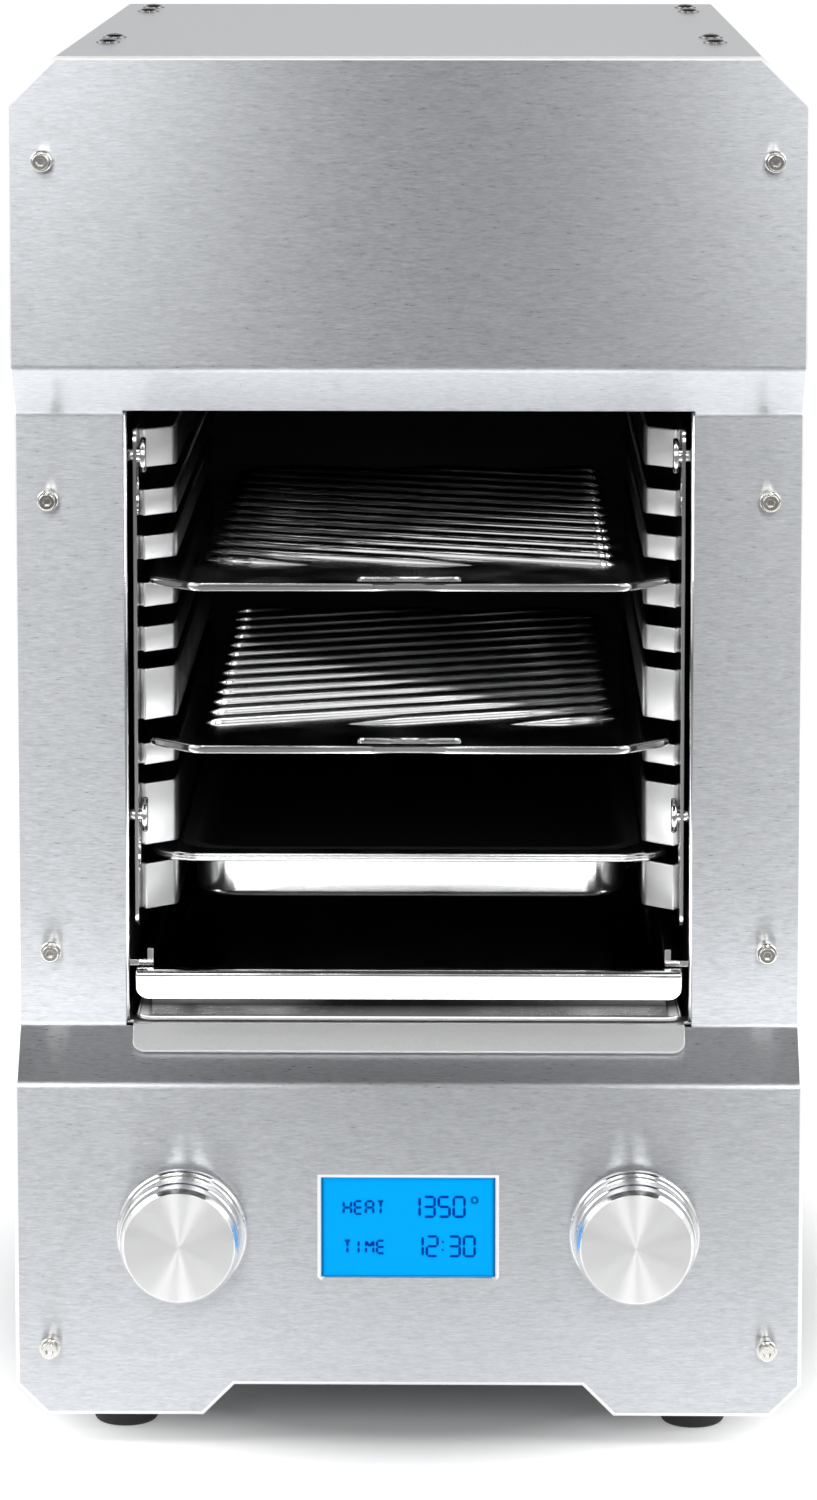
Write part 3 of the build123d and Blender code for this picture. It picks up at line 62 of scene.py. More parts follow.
# Faceplate
SHEET = 0.0015
RECESS = 0.0167
LOWER_BEND, UPPER_BEND, INNER_BEND_REACH = 0.124, 0.3654, 0.0012
OPENING_HALF = 0.0955
OPENING_LOW, OPENING_HIGH = 0.1404, 0.3499
WINDOW_HALF = 0.02925
WINDOW_LOW, WINDOW_HIGH = 0.058, 0.092
TOP_CUT, FOOT_CUT = 0.0162, 0.0105
NOTCH_TOP, NOTCH_HALF = 0.0205, 0.0587
# Least angle between two faces that meet at the sheet's rim
RIM_ANGLE = 1.2

# Hems at the chamber opening
HEM_MIDDLE, HEM_R = 0.0952, 0.00084
HEM_TIP, HEM_DROP, HEM_PROUD = 0.0004, 0.0008, 0.00002
HEM_SWELL = (0.6, 1, 1, 0.6)

# Rivets: heights and radii in millimetres
RIVET_PROFILE = (
    (-0.2, 3.0), (-0.2, 4.2), (0.35, 4.2), (0.45, 3.3), (0.95, 2.9), (1.35, 1.9), (1.4, 1.2), (1.1, 0.7),
    (1.05, 0.0),
)
RIVET_H, RIVET_GAP, RIVET_SOFT = 0.0014, 0.034, 0.00015

# Rack straps: bottom and top of each in millimetres, and the bent line they follow
RUNG_LEVELS = (
    (175.6, 191.2), (197.8, 219.0), (225.5, 232.8), (241.0, 258.5), (264.4, 273.0),
    (279.9, 288.1), (296.0, 304.2), (311.1, 320.0), (327.7, 340.8),
)
STRAP, STRAP_SOFT = 0.0012, 0.0004
STRAP_TOE, STRAP_FOOT, RUNG_LEAD = 0.0025, 0.0016, 0.009
STRAP_BENDS = (0, 0.0006, 0.0022, 0.0022, 0)

# Grill plates, with places from the front edge
GRILL_THICK, GRILL_SOFT = 0.0026, 0.0005
GRILL_CORNER, GRILL_ROUNDS = 0.016, (0.006, 0.006, 0.0035, 0.0035, 0.0035, 0.0035)
GRIP_HALF, GRIP_DEPTH, GRIP_MIDDLE, GRIP_ROUND = 0.017, 0.005, 0.010, 0.0012
RIB_FIELD_HALF, RIB_FIELD_FRONT, RIB_FIELD_BACK = 0.0718, 0.041, 0.298
RIB_START, RIB_POINT, RIB_CUT, RIB_LEAST, RIB_SINK = 0.014, 0.006, 0.02, 0.02, 0.0002

# Pan
PAN_BODY, PAN_BODY_R, PAN_RIM_R, PAN_LEAST_R = (0.075, 0.138), 0.016, 0.017, 0.006
PAN_WALL, PAN_DRAFT = 0.0008, math.radians(5)
PAN_FLOOR_RUN, PAN_FLANGE = 0.040, 0.004
PAN_INSIDE_BENDS, PAN_UNDER_BENDS = (0, 0.0042, 0.0012, 0), (0, 0.0008, 0.0022, 0)
RIM_H, RIM_BEAD, SEAM_HALF, SEAM_DEEP = 0.0029, 0.0022, 0.00022, 0.0002
RIM_BENDS = (0, 0.0008, 0.0001, 0.0001, 0.0001, 0.0008, 0.0003, 0)

# Drip tray and its pull flap
TRAY_WALL, TRAY_TOP, TRAY_LEAN, TRAY_FLOOR_RUN = 0.0008, 0.1575, 0.002, 0.03
TRAY_CORNER, TRAY_LEAST_R = 0.006, 0.0012
TRAY_BENDS = (0, 0.0026, 0.0003, 0.0003, 0.002, 0)
FLAP_LEDGE, FLAP_BACK, FLAP_BOTTOM, FLAP_LEAF = 0.0065, 0.0015, 0.1507, 0.008
FLAP_BENDS = (0, 0.0016, 0.0018, 0)
FLAP_INSET, FLAP_ROUND, FLAP_EDGE = 0.0004, 0.0044, 0.0004
# Places across the flap, from its side inwards
FLAP_PLACES = np.concatenate([np.linspace(0, 0.0006, 4), np.linspace(0.0009, FLAP_ROUND, 9), [0.02]])

# Knobs: distance out of the faceplate and radius in millimetres
KNOB_PROFILE = (
    (2.7, 17.0), (2.7, 21.6), (3.1, 22.0), (5.1, 22.0), (5.9, 21.4), (5.9, 19.7), (6.9, 19.6), (7.6, 20.4),
    (14.8, 20.4), (15.4, 19.9), (19.9, 19.7), (21.7, 18.6), (22.0, 18.2), (21.9, 9.0), (21.8, 0.0),
)
KNOB_SOFT = 0.00022
# Length along the knob's profile at which its face starts, and over which its finish changes
KNOB_FACE_RUN, KNOB_FACE_BLEND = 0.0267, 0.0005

# Display: places from the window's middle, character sizes as shares of a digit's height
TOP_LINE, LOWER_LINE = 0.0031, -0.0105
WORD_LEFT, WORD_LIFT = -0.0218, 0.0009
WORD_TALL, WORD_WIDE, WORD_STEP = 0.64, 0.58, 0.55
DIGIT_WIDE, DIGIT_STEP = 0.53, 0.74
DEGREES_LEFT, HOURS_LEFT, MINUTES_LEFT = 0.0002, 0.0012, 0.0137
COLON_PLACE, COLON_TALL, COLON_RISES = 0.0116, 0.0013, (0.22, 0.62)
DEGREE_PLACE, DEGREE_R = 0.0223, 0.0011
THIN_STROKE, DIGIT_STROKE, RING_STROKE, STROKE_GAP = 0.00042, 0.00045, 0.0004, 0.22
PANEL_GAP, PANEL_INSET, INK_GAP = 0.00015, 0.001, 0.0001
# Half sizes of the backlight, how far it sits below the window's middle, and how wide it fades to the painted shade at
# the window's edges
GLOW_HALF, GLOW_DROP, GLOW_FADE = (0.0296, 0.0177), 0.0006, 0.002


# Shapes

def round_corners(points, reach, steps, closed=True):
    """Polyline whose corner P becomes (1-t)^2 Q0 + 2t(1-t) P + t^2 Q1, Q0 and Q1 a reach from P on its two sides."""
    p = np.asarray(points, float)
    reach = np.broadcast_to(np.asarray(reach, float), (len(p),)).copy()
    if not closed:
        reach[[0, -1]] = 0
    before = np.roll(p, 1, axis=0) - p
    after = np.roll(p, -1, axis=0) - p
    first = p + before * (reach / np.linalg.norm(before, axis=1))[:, None]
    last = p + after * (reach / np.linalg.norm(after, axis=1))[:, None]
    t = np.linspace(0, 1, steps)[None, :, None]
    curve = (1 - t) ** 2 * first[:, None] + 2 * t * (1 - t) * p[:, None] + t ** 2 * last[:, None]
    if closed:
        return curve.reshape(-1, p.shape[1])
    return np.concatenate([curve[0, :1], curve[1:-1].reshape(-1, p.shape[1]), curve[-1, :1]])


def grid_faces(rows, cols, wrap_rows, wrap_cols):
    """Corner numbers of the quads between neighbouring points of a grid, joined round where it wraps."""
    r, c = np.meshgrid(
        np.arange(rows if wrap_rows else rows - 1), np.arange(cols if wrap_cols else cols - 1), indexing="ij",
    )
    below, beside = (r + 1) % rows, (c + 1) % cols
    corners = [r * cols + c, below * cols + c, below * cols + beside, r * cols + beside]
    return np.stack(corners, -1).reshape(-1, 4)


def revolve(profile, centre, order=(0, 2, 1), turns=96):
    """Points (r cos a, r sin a, h) of a profile of (h, r) pairs turned about a line, in the axis order, and moved."""
    angle = np.linspace(0, 2 * math.pi, turns, endpoint=False)
    h, r = np.asarray(profile, float).T
    x, y = np.outer(np.cos(angle), r), np.outer(np.sin(angle), r)
    turned = np.stack([x, y, np.broadcast_to(h, x.shape)], -1)
    return turned[..., order] + np.asarray(centre, float)


def capped(grid):
    """A grid with its first and last rows drawn to their middles, which closes both ends."""
    middles = grid[[0, -1]].mean(1, keepdims=True) + np.zeros_like(grid[[0, -1]])
    return np.concatenate([middles[:1], grid, middles[1:]])


def rounded_rings(rings, middle, steps):
    """Rounded rectangles (hx, hy, R, z): corner arcs of radius R about (+-(hx - R), middle +-(hy - R)), at height z."""
    hx, hy, r, z = np.asarray(rings, float).T[:, None, :]
    quarter = np.linspace(0, math.pi / 2, steps)
    angle = (np.arange(4)[:, None] * math.pi / 2 + quarter).reshape(-1, 1)
    sign_x = np.repeat([1, -1, -1, 1], steps)[:, None]
    sign_y = np.repeat([1, 1, -1, -1], steps)[:, None]
    x = sign_x * (hx - r) + r * np.cos(angle)
    y = middle + sign_y * (hy - r) + r * np.sin(angle)
    return np.stack([x, y, np.broadcast_to(z, x.shape)], -1)


def sweep(section, path, across):
    """Section points (a, b) carried along a path: path + a * normal + b * across, the normal mitred at each point."""
    path = np.asarray(path, float)
    across = np.asarray(across, float)
    run = np.diff(path, axis=0)
    run /= np.linalg.norm(run, axis=1, keepdims=True)
    arriving = np.concatenate([run[:1], run])
    leaving = np.concatenate([run, run[-1:]])
    tangent = arriving + leaving
    tangent /= np.linalg.norm(tangent, axis=1, keepdims=True)
    normal = np.cross(tangent, across)
    stretch = 1 / np.maximum((tangent * leaving).sum(1), 0.3)
    a, b = np.asarray(section, float).T
    mitred = (normal * stretch[:, None])[:, None]
    return path[:, None] + mitred * a[None, :, None] + across * b[None, :, None]


def ray_reach(outline, centre, angle):
    """Distance from a centre to a convex outline along each angle: the least of c / (n . d) over its edges."""
    tiny = 1e-9
    p = np.asarray(outline, float) - centre
    edge = np.roll(p, -1, axis=0) - p
    normal = np.stack([edge[:, 1], -edge[:, 0]], -1)
    keep = np.linalg.norm(normal, axis=1) > tiny
    normal, p = normal[keep], p[keep]
    offset = (normal * p).sum(1)
    normal, offset = normal * np.sign(offset)[:, None], np.abs(offset)
    facing = np.stack([np.cos(angle), np.sin(angle)], -1) @ normal.T
    return np.where(facing > tiny, offset / np.maximum(facing, tiny), np.inf).min(1)


def make_piece(name, patches, material, body, replaces=(), sharp=32.0, outward=True, uv=None):
    """Mesh of one or more grids of points, each (points, wraps in rows, wraps in columns), as one piece on a body.

    Doubles are merged. With outward, the faces are turned to point out of the shape.
    """
    points, faces, start = [], [], 0
    for grid, wrap_rows, wrap_cols in patches:
        rows, cols = grid.shape[:2]
        points.append(grid.reshape(-1, 3))
        faces.append(grid_faces(rows, cols, wrap_rows, wrap_cols) + start)
        start += rows * cols
    mesh = bpy.data.meshes.new(name)
    mesh.from_pydata(np.concatenate(points).tolist(), [], np.concatenate(faces).tolist())
    if uv is not None:
        corner = np.empty(len(mesh.loops), np.int32)
        mesh.loops.foreach_get("vertex_index", corner)
        layer = mesh.uv_layers.new(name="turning")
        layer.data.foreach_set("uv", np.asarray(uv, np.float32).reshape(-1, 2)[corner].ravel())
    shape = bmesh.new()
    shape.from_mesh(mesh)
    bmesh.ops.remove_doubles(shape, verts=shape.verts, dist=1e-7)
    bmesh.ops.dissolve_degenerate(shape, dist=1e-8, edges=shape.edges)
    if outward:
        bmesh.ops.recalc_face_normals(shape, faces=shape.faces)
    shape.to_mesh(mesh)
    shape.free()
    add_piece(name, mesh, material, body, replaces, sharp)


def add_piece(name, mesh, material, body, replaces, sharp):
    """Puts a mesh in the scene as a piece on a body, smooth but for edges sharper than an angle in degrees."""
    mesh.polygons.foreach_set("use_smooth", np.ones(len(mesh.polygons), bool))
    mesh.set_sharp_from_angle(angle=math.radians(sharp))
    mesh.materials.append(material)
    piece = bpy.data.objects.new(name, mesh)
    bpy.context.scene.collection.objects.link(piece)
    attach(piece, body)
    if replaces:
        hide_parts(*replaces)


# Finishes

def node(tree, kind, inputs=None, **settings):
    """Adds a node, sets its properties, and sets or joins its inputs."""
    made = tree.nodes.new(kind)
    for key, value in settings.items():
        setattr(made, key, value)
    for key, value in (inputs or {}).items():
        if isinstance(value, bpy.types.NodeSocket):
            tree.links.new(value, made.inputs[key])
        else:
            made.inputs[key].default_value = value
    return made


def feed(tree, surface, **sources):
    """Joins sockets to a surface's inputs, named with _ for a space."""
    for key, source in sources.items():
        tree.links.new(source, surface.inputs[key.replace("_", " ")])


def open_group(name, inputs, outputs):
    """A shader node group with named sockets, with its inside ends."""
    group = bpy.data.node_groups.new(name, "ShaderNodeTree")
    for label, kind, default in inputs:
        socket = group.interface.new_socket(label, in_out="INPUT", socket_type=kind)
        if default is not None:
            socket.default_value = default
    for label, kind in outputs:
        group.interface.new_socket(label, in_out="OUTPUT", socket_type=kind)
    return group, group.nodes.new("NodeGroupInput").outputs, group.nodes.new("NodeGroupOutput")


def grain_group():
    """Brushed grain: noise on coordinates stretched far along the brushing, a fine and a coarse layer added up."""
    group, given, result = open_group(
        "brushed grain",
        [("Vector", "NodeSocketVector", None), ("Stretch", "NodeSocketVector", (120.0, 1500.0, 1500.0))],
        [("Grain", "NodeSocketFloat")],
    )
    spread = node(
        group, "ShaderNodeVectorMath", {0: given["Vector"], 1: given["Stretch"]}, operation="MULTIPLY",
    ).outputs[0]
    fine = node(group, "ShaderNodeTexNoise", {"Vector": spread, "Scale": 1.0, "Detail": 3.0, "Roughness": 0.65})
    wide = node(group, "ShaderNodeTexNoise", {"Vector": spread, "Scale": 1.9, "Detail": 2.0, "Roughness": 0.6})
    both = node(group, "ShaderNodeMix", {0: 0.45, 2: fine.outputs["Fac"], 3: wide.outputs["Fac"]})
    even = node(group, "ShaderNodeMapRange", {"Value": both.outputs[0], "From Min": 0.22, "From Max": 0.78})
    feed(group, result, Grain=even.outputs[0])
    return group


def marks_group():
    """Handling marks: patches of soft noise and thin random scratches, each from 0 to 1."""
    group, given, result = open_group(
        "handling marks",
        [("Vector", "NodeSocketVector", None), ("Scale", "NodeSocketFloat", 40.0)],
        [("Smudge", "NodeSocketFloat"), ("Scratch", "NodeSocketFloat")],
    )
    place = given["Vector"]
    soft = node(group, "ShaderNodeTexNoise", {"Vector": place, "Scale": given["Scale"], "Detail": 4.0})
    smudge = node(group, "ShaderNodeMapRange", {"Value": soft.outputs["Fac"], "From Min": 0.38, "From Max": 0.68})
    turned = node(group, "ShaderNodeMapping", {"Vector": place, "Rotation": (0.4, 0.7, 0.5)})
    long = node(
        group, "ShaderNodeVectorMath", {0: turned.outputs[0], 1: (60.0, 1800.0, 1800.0)}, operation="MULTIPLY",
    )
    streak = node(group, "ShaderNodeTexNoise", {"Vector": long.outputs[0], "Scale": 1.0, "Detail": 1.0})
    scratch = node(group, "ShaderNodeMapRange", {"Value": streak.outputs["Fac"], "From Min": 0.62, "From Max": 0.8})
    feed(group, result, Smudge=smudge.outputs[0], Scratch=scratch.outputs[0])
    return group


def place_group(tree, name, build, inputs):
    """Puts a node group in a material and gives its outputs; it is built the first time it is asked for."""
    group = bpy.data.node_groups.get(name) or build()
    return node(tree, "ShaderNodeGroup", inputs, node_tree=group).outputs


def open_material(name, **constants):
    """A new material with one Principled BSDF whose plain values are set on its own sockets."""
    material = bpy.data.materials.new(name)
    material.use_nodes = True
    tree = material.node_tree
    tree.nodes.clear()
    values = {key.replace("_", " "): value for key, value in constants.items()}
    surface = node(tree, "ShaderNodeBsdfPrincipled", values)
    node(tree, "ShaderNodeOutputMaterial", {"Surface": surface.outputs["BSDF"]})
    return material, tree, surface


def object_coordinates(tree):
    """The piece's own coordinates, in metres, which are the frame's."""
    return node(tree, "ShaderNodeTexCoord").outputs["Object"]


def vary(tree, fac, low, high):
    """A value that runs from low to high with a mask."""
    return node(tree, "ShaderNodeMapRange", {"Value": fac, "To Min": low, "To Max": high}).outputs[0]


def tint(tree, fac, dark, light):
    """A colour between two greys or colours by a mask."""
    return node(tree, "ShaderNodeMix", {0: fac, 6: (*dark, 1), 7: (*light, 1)}, data_type="RGBA").outputs[2]


def shaded(colour, share):
    """A share of a colour."""
    return tuple(share * c for c in colour)


def brushed_finish(name, dark, light, rough, along, stretch, streak):
    """Brushed sheet: grain in colour, roughness and bump, and a highlight drawn out across the brushing."""
    material, tree, surface = open_material(name, Metallic=1.0, Anisotropic=streak)
    inputs = {"Vector": object_coordinates(tree), "Stretch": stretch}
    mask = place_group(tree, "brushed grain", grain_group, inputs)["Grain"]
    edge = node(tree, "ShaderNodeBevel", {"Radius": 0.0005}, samples=4)
    bump = node(
        tree, "ShaderNodeBump",
        {"Strength": 0.02, "Distance": 0.0002, "Height": mask, "Normal": edge.outputs["Normal"]},
    )
    facing = node(tree, "ShaderNodeNewGeometry").outputs["Normal"]
    across = node(tree, "ShaderNodeVectorMath", {0: facing, 1: along}, operation="CROSS_PRODUCT")
    feed(
        tree, surface, Base_Color=tint(tree, mask, dark, light), Roughness=vary(tree, mask, *rough),
        Normal=bump.outputs["Normal"], Tangent=across.outputs[0],
    )
    return material


def polished_finish(name, colour, rough, bevel=0.0004, fade=None):
    """Polished metal: a mirror with faint smudges and hairline scratches; painted shade may darken its colour along an
    axis.
    """
    material, tree, surface = open_material(name, Metallic=1.0)
    place = object_coordinates(tree)
    marks = place_group(tree, "handling marks", marks_group, {"Vector": place, "Scale": 45.0})
    shade = tint(tree, marks["Smudge"], colour, shaded(colour, 0.94))
    if fade:
        # Painted shade: along the axis the colour darkens to a share of itself, for the shade in the chamber and under
        # the drip tray's flap
        axis, start, end, share = fade
        depth = node(tree, "ShaderNodeSeparateXYZ", {0: place}).outputs[axis]
        darker = node(tree, "ShaderNodeMapRange", {"Value": depth, "From Min": start, "From Max": end}).outputs[0]
        painted_shade = (*shaded(colour, share), 1)
        shade = node(tree, "ShaderNodeMix", {0: darker, 6: shade, 7: painted_shade}, data_type="RGBA").outputs[2]
    edge = node(tree, "ShaderNodeBevel", {"Radius": bevel}, samples=4)
    bump = node(
        tree, "ShaderNodeBump",
        {"Strength": 0.05, "Distance": 0.0001, "Height": marks["Scratch"], "Normal": edge.outputs["Normal"]},
    )
    feed(
        tree, surface, Base_Color=shade, Roughness=vary(tree, marks["Smudge"], *rough),
        Normal=bump.outputs["Normal"],
    )
    return material


def spun_finish(name, colour):
    """Spun aluminium: fine turning lines along the profile, the highlight drawn out across them, softer on the face."""
    material, tree, surface = open_material(name, Metallic=1.0, Anisotropic=0.95, Anisotropic_Rotation=0.25)
    turning = node(tree, "ShaderNodeUVMap", uv_map="turning").outputs["UV"]
    rings = node(tree, "ShaderNodeVectorMath", {0: turning, 1: (0.0, 5200.0, 0.0)}, operation="MULTIPLY")
    noise = node(tree, "ShaderNodeTexNoise", {"Vector": rings.outputs[0], "Scale": 1.0, "Detail": 2.0})
    lines = noise.outputs["Fac"]
    run = node(tree, "ShaderNodeSeparateXYZ", {0: turning}).outputs["Y"]
    face = node(
        tree, "ShaderNodeMapRange",
        {"Value": run, "From Min": KNOB_FACE_RUN - KNOB_FACE_BLEND, "From Max": KNOB_FACE_RUN},
    )
    barrel, front = (vary(tree, lines, low, low + 0.11) for low in (0.1, 0.36))
    rough = node(tree, "ShaderNodeMix", {0: face.outputs[0], 2: barrel, 3: front})
    bump = node(tree, "ShaderNodeBump", {"Strength": 0.05, "Distance": 0.00005, "Height": lines})
    tangent = node(tree, "ShaderNodeTangent", direction_type="UV_MAP", uv_map="turning")
    feed(
        tree, surface, Base_Color=tint(tree, lines, shaded(colour, 0.93), colour), Roughness=rough.outputs[0],
        Normal=bump.outputs["Normal"], Tangent=tangent.outputs[0],
    )
    return material


def matte_finish(name, dark, light, rough, scale, bump=0.2, metallic=0.0, shine=0.5):
    """Enamel, rubber, plastic, board or blanket: mottled colour and a fine surface texture from noise."""
    material, tree, surface = open_material(name, Metallic=metallic, Specular_IOR_Level=shine)
    place = object_coordinates(tree)
    mottle = node(tree, "ShaderNodeTexNoise", {"Vector": place, "Scale": scale, "Detail": 5.0}).outputs["Fac"]
    texture = node(tree, "ShaderNodeBump", {"Strength": bump, "Distance": 0.0003, "Height": mottle})
    feed(
        tree, surface, Base_Color=tint(tree, mottle, dark, light), Roughness=vary(tree, mottle, *rough),
        Normal=texture.outputs["Normal"],
    )
    return material


def window_finish(name):
    """Clear display window: smooth plastic that lets the lit panel through, with a few faint smudges."""
    material, tree, surface = open_material(
        name, Base_Color=(0.96, 0.98, 1.0, 1.0), Transmission_Weight=1.0, IOR=1.1, Metallic=0.0,
    )
    marks = place_group(tree, "handling marks", marks_group, {"Vector": object_coordinates(tree)})
    feed(tree, surface, Roughness=vary(tree, marks["Smudge"], 0.02, 0.05))
    return material


def backlight_finish(name, glow, shade):
    """Backlit panel: the glow falls to a painted shade near the edges of the window, by distance from its nearest edge;
    the shade stands in for the shadow inside the window's recess.
    """
    material, tree, surface = open_material(name, Roughness=0.5, Emission_Strength=1.0, Specular_IOR_Level=0.0)
    middle = (LENS_LOW + LENS_HIGH) / 2
    centre = (middle.x, middle.y, middle.z - GLOW_DROP)
    moved = node(tree, "ShaderNodeVectorMath", {0: object_coordinates(tree), 1: centre}, operation="SUBTRACT")
    size = node(tree, "ShaderNodeVectorMath", {0: moved.outputs[0]}, operation="ABSOLUTE")
    split = node(tree, "ShaderNodeSeparateXYZ", {0: size.outputs[0]})
    side, end = (
        node(tree, "ShaderNodeMath", {0: half, 1: split.outputs[axis]}, operation="SUBTRACT").outputs[0]
        for half, axis in zip(GLOW_HALF, "XZ")
    )
    inward = node(tree, "ShaderNodeMath", {0: side, 1: end}, operation="MINIMUM")
    # Painted shade: the glow and the base colour darken near the window's edges, for the shadow inside the window's
    # recess
    level = node(
        tree, "ShaderNodeMapRange", {"Value": inward.outputs[0], "From Min": 0.0, "From Max": GLOW_FADE},
        interpolation_type="SMOOTHSTEP",
    ).outputs[0]
    feed(
        tree, surface, Emission_Color=tint(tree, level, shade, glow),
        Base_Color=tint(tree, level, (0.0, 0.01, 0.04), (0.0, 0.05, 0.12)),
    )
    return material


# Matte finishes: name, darkest and lightest colour, roughness, scale of the noise, and what else differs
MATTES = {
    # Painted highlight: the faceplate's rounded edges get a near-white, barely metallic colour that stands in for the
    # bright highlight along them
    "edge": ("edge with painted highlight", (0.9, 0.905, 0.91), (0.97, 0.97, 0.97), (0.35, 0.45), 260.0,
             {"bump": 0.02, "metallic": 0.25}),
    "liner": ("black enamel", (0.003, 0.003, 0.0035), (0.008, 0.008, 0.009), (0.55, 0.7), 220.0, {"bump": 0.08}),
    "rubber": ("rubber", (0.012, 0.012, 0.012), (0.03, 0.03, 0.03), (0.6, 0.8), 900.0, {}),
    "plastic": ("black plastic", (0.015, 0.015, 0.016), (0.03, 0.03, 0.03), (0.4, 0.55), 1400.0, {}),
    "board": ("circuit board", (0.012, 0.09, 0.035), (0.03, 0.16, 0.06), (0.35, 0.5), 300.0, {}),
    "ceramic": ("ceramic", (0.72, 0.69, 0.6), (0.85, 0.83, 0.76), (0.5, 0.7), 500.0, {}),
    "blanket": ("fibre blanket", (0.66, 0.64, 0.58), (0.88, 0.87, 0.83), (0.85, 0.95), 350.0, {"bump": 0.9}),
    "sheath": ("element sheath", (0.05, 0.045, 0.042), (0.13, 0.115, 0.105), (0.35, 0.55), 260.0,
               {"bump": 0.15, "metallic": 1.0}),
    "sleeve": ("lead sleeve", (0.55, 0.5, 0.4), (0.76, 0.72, 0.62), (0.8, 0.9), 1600.0, {"bump": 0.6}),
    "ink": ("display ink", (0.0, 0.03, 0.3), (0.0, 0.05, 0.42), (0.4, 0.5), 400.0, {"bump": 0.0, "shine": 0.0}),
}
# Polished finishes: name, share of the polish colour, roughness, and what else differs; a fade is painted shade, given
# as an axis, its start and end, and the share of the colour that is left there
POLISHES = {
    "polish": ("polished steel", 1.0, (0.07, 0.16), {}),
    "plate": ("grill plate steel", 0.96, (0.08, 0.18), {}),
    "pan": ("pan steel", 1.0, (0.16, 0.24), {}),
    # Painted shade: the straps darken behind their front tabs, for the shade inside the chamber
    "strap": ("strap steel", 1.0, (0.3, 0.4), {"fade": ("Y", -0.138, -0.128, 0.12)}),
    # Painted shade: the tray darkens towards its top, for the shadow under the pull flap
    "tray": ("tray steel", 1.0, (0.07, 0.16), {"fade": ("Z", 0.1418, 0.1475, 0.03)}),
    # Painted shade: the upper ribs darken towards the back, for the shade deeper in the chamber
    "shaded_ribs": ("rib steel with painted shade", 1.0, (0.04, 0.1), {"fade": ("Y", -0.08, 0.1, 0.3)}),
    "rivet": ("rivet steel", 0.3, (0.05, 0.12), {"bevel": 0.0002}),
}
# Brushing directions, a little askew so that no flat face lies square to them
GRAIN_X, GRAIN_Y = (1.0, 0.03, 0.02), (0.03, 1.0, 0.02)
PANEL_ROUGH_SPREAD = 0.05
FINISHES = {}


def make_finish(key):
    """Builds a finish by its plain name, from the tables and from the colours in the scene's settings."""
    look = bpy.context.scene.broiler_finishes
    if key in MATTES:
        *values, others = MATTES[key]
        return matte_finish(*values, **others)
    if key in POLISHES:
        name, share, rough, others = POLISHES[key]
        return polished_finish(name, shaded(look.polish_colour, share), rough, **others)
    panel = [shaded(look.panel_colour, share) for share in look.grain_contrast]
    panel.append((look.panel_roughness - PANEL_ROUGH_SPREAD, look.panel_roughness + PANEL_ROUGH_SPREAD))
    sheet = [shaded(look.panel_colour, share) for share in (0.62, 0.74)]
    ledge = [shaded(look.polish_colour, share) for share in (0.94, 1.06)]
    makers = {
        "panel": lambda: brushed_finish(
            "brushed panel", *panel, GRAIN_X, (230.0, 1900.0, 1900.0), look.panel_streak),
        "cover": lambda: brushed_finish(
            "brushed cover", *panel, GRAIN_Y, (1900.0, 230.0, 1900.0), look.panel_streak),
        "sheet": lambda: brushed_finish("mill sheet", *sheet, (0.34, 0.46), GRAIN_X, (160.0, 600.0, 600.0), 0.4),
        "ledge": lambda: brushed_finish("brushed ledge", *ledge, (0.46, 0.56), GRAIN_Y, (1500.0, 190.0, 1500.0), 0.3),
        "screw": lambda: polished_finish("screw steel", tuple(look.screw_colour), (0.15, 0.26), bevel=0.0002),
        "brass": lambda: polished_finish("turned brass", (0.72, 0.53, 0.22), (0.2, 0.35)),
        "knob": lambda: spun_finish("spun aluminium", tuple(look.knob_colour)),
        "window": lambda: window_finish("clear window"),
        # The backlight's edge colour is painted shade, a small share of the glow
        "backlight": lambda: backlight_finish(
            "display backlight", tuple(look.glow_colour), shaded(look.glow_colour, 0.12)),
    }
    return makers[key]()


def finish(key):
    """A finish by its plain name, built the first time it is used."""
    if key not in FINISHES:
        FINISHES[key] = make_finish(key)
    return FINISHES[key]


def dress(key, *names):
    """Gives CAD pieces a finish through their own material slots."""
    for name in names:
        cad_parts[name].material_slots[0].material = finish(key)


# Settings

class BroilerSizes(bpy.types.PropertyGroup):
    """Sizes of the shaped pieces."""

    bend_radius: bpy.props.FloatProperty(
        name="Bend", description="Reach of the faceplate's outer bends", default=0.0016, unit="LENGTH")
    edge_round: bpy.props.FloatProperty(
        name="Edge", description="Rounding of the faceplate's edges", default=0.0013, unit="LENGTH")
    rib_pitch: bpy.props.FloatProperty(
        name="Rib pitch", description="Distance between grill ribs along the plate", default=0.0204, unit="LENGTH")
    rib_width: bpy.props.FloatProperty(
        name="Rib width", description="Width of a grill rib", default=0.0056, unit="LENGTH")
    rib_height: bpy.props.FloatProperty(
        name="Rib height", description="Height of a grill rib", default=0.0024, unit="LENGTH")
    rib_angle: bpy.props.FloatProperty(
        name="Rib slant", description="Slant of the ribs from straight across", default=math.radians(20),
        subtype="ANGLE")
    digit_height: bpy.props.FloatProperty(
        name="Digit height", description="Height of the display's digits", default=0.0068, unit="LENGTH")


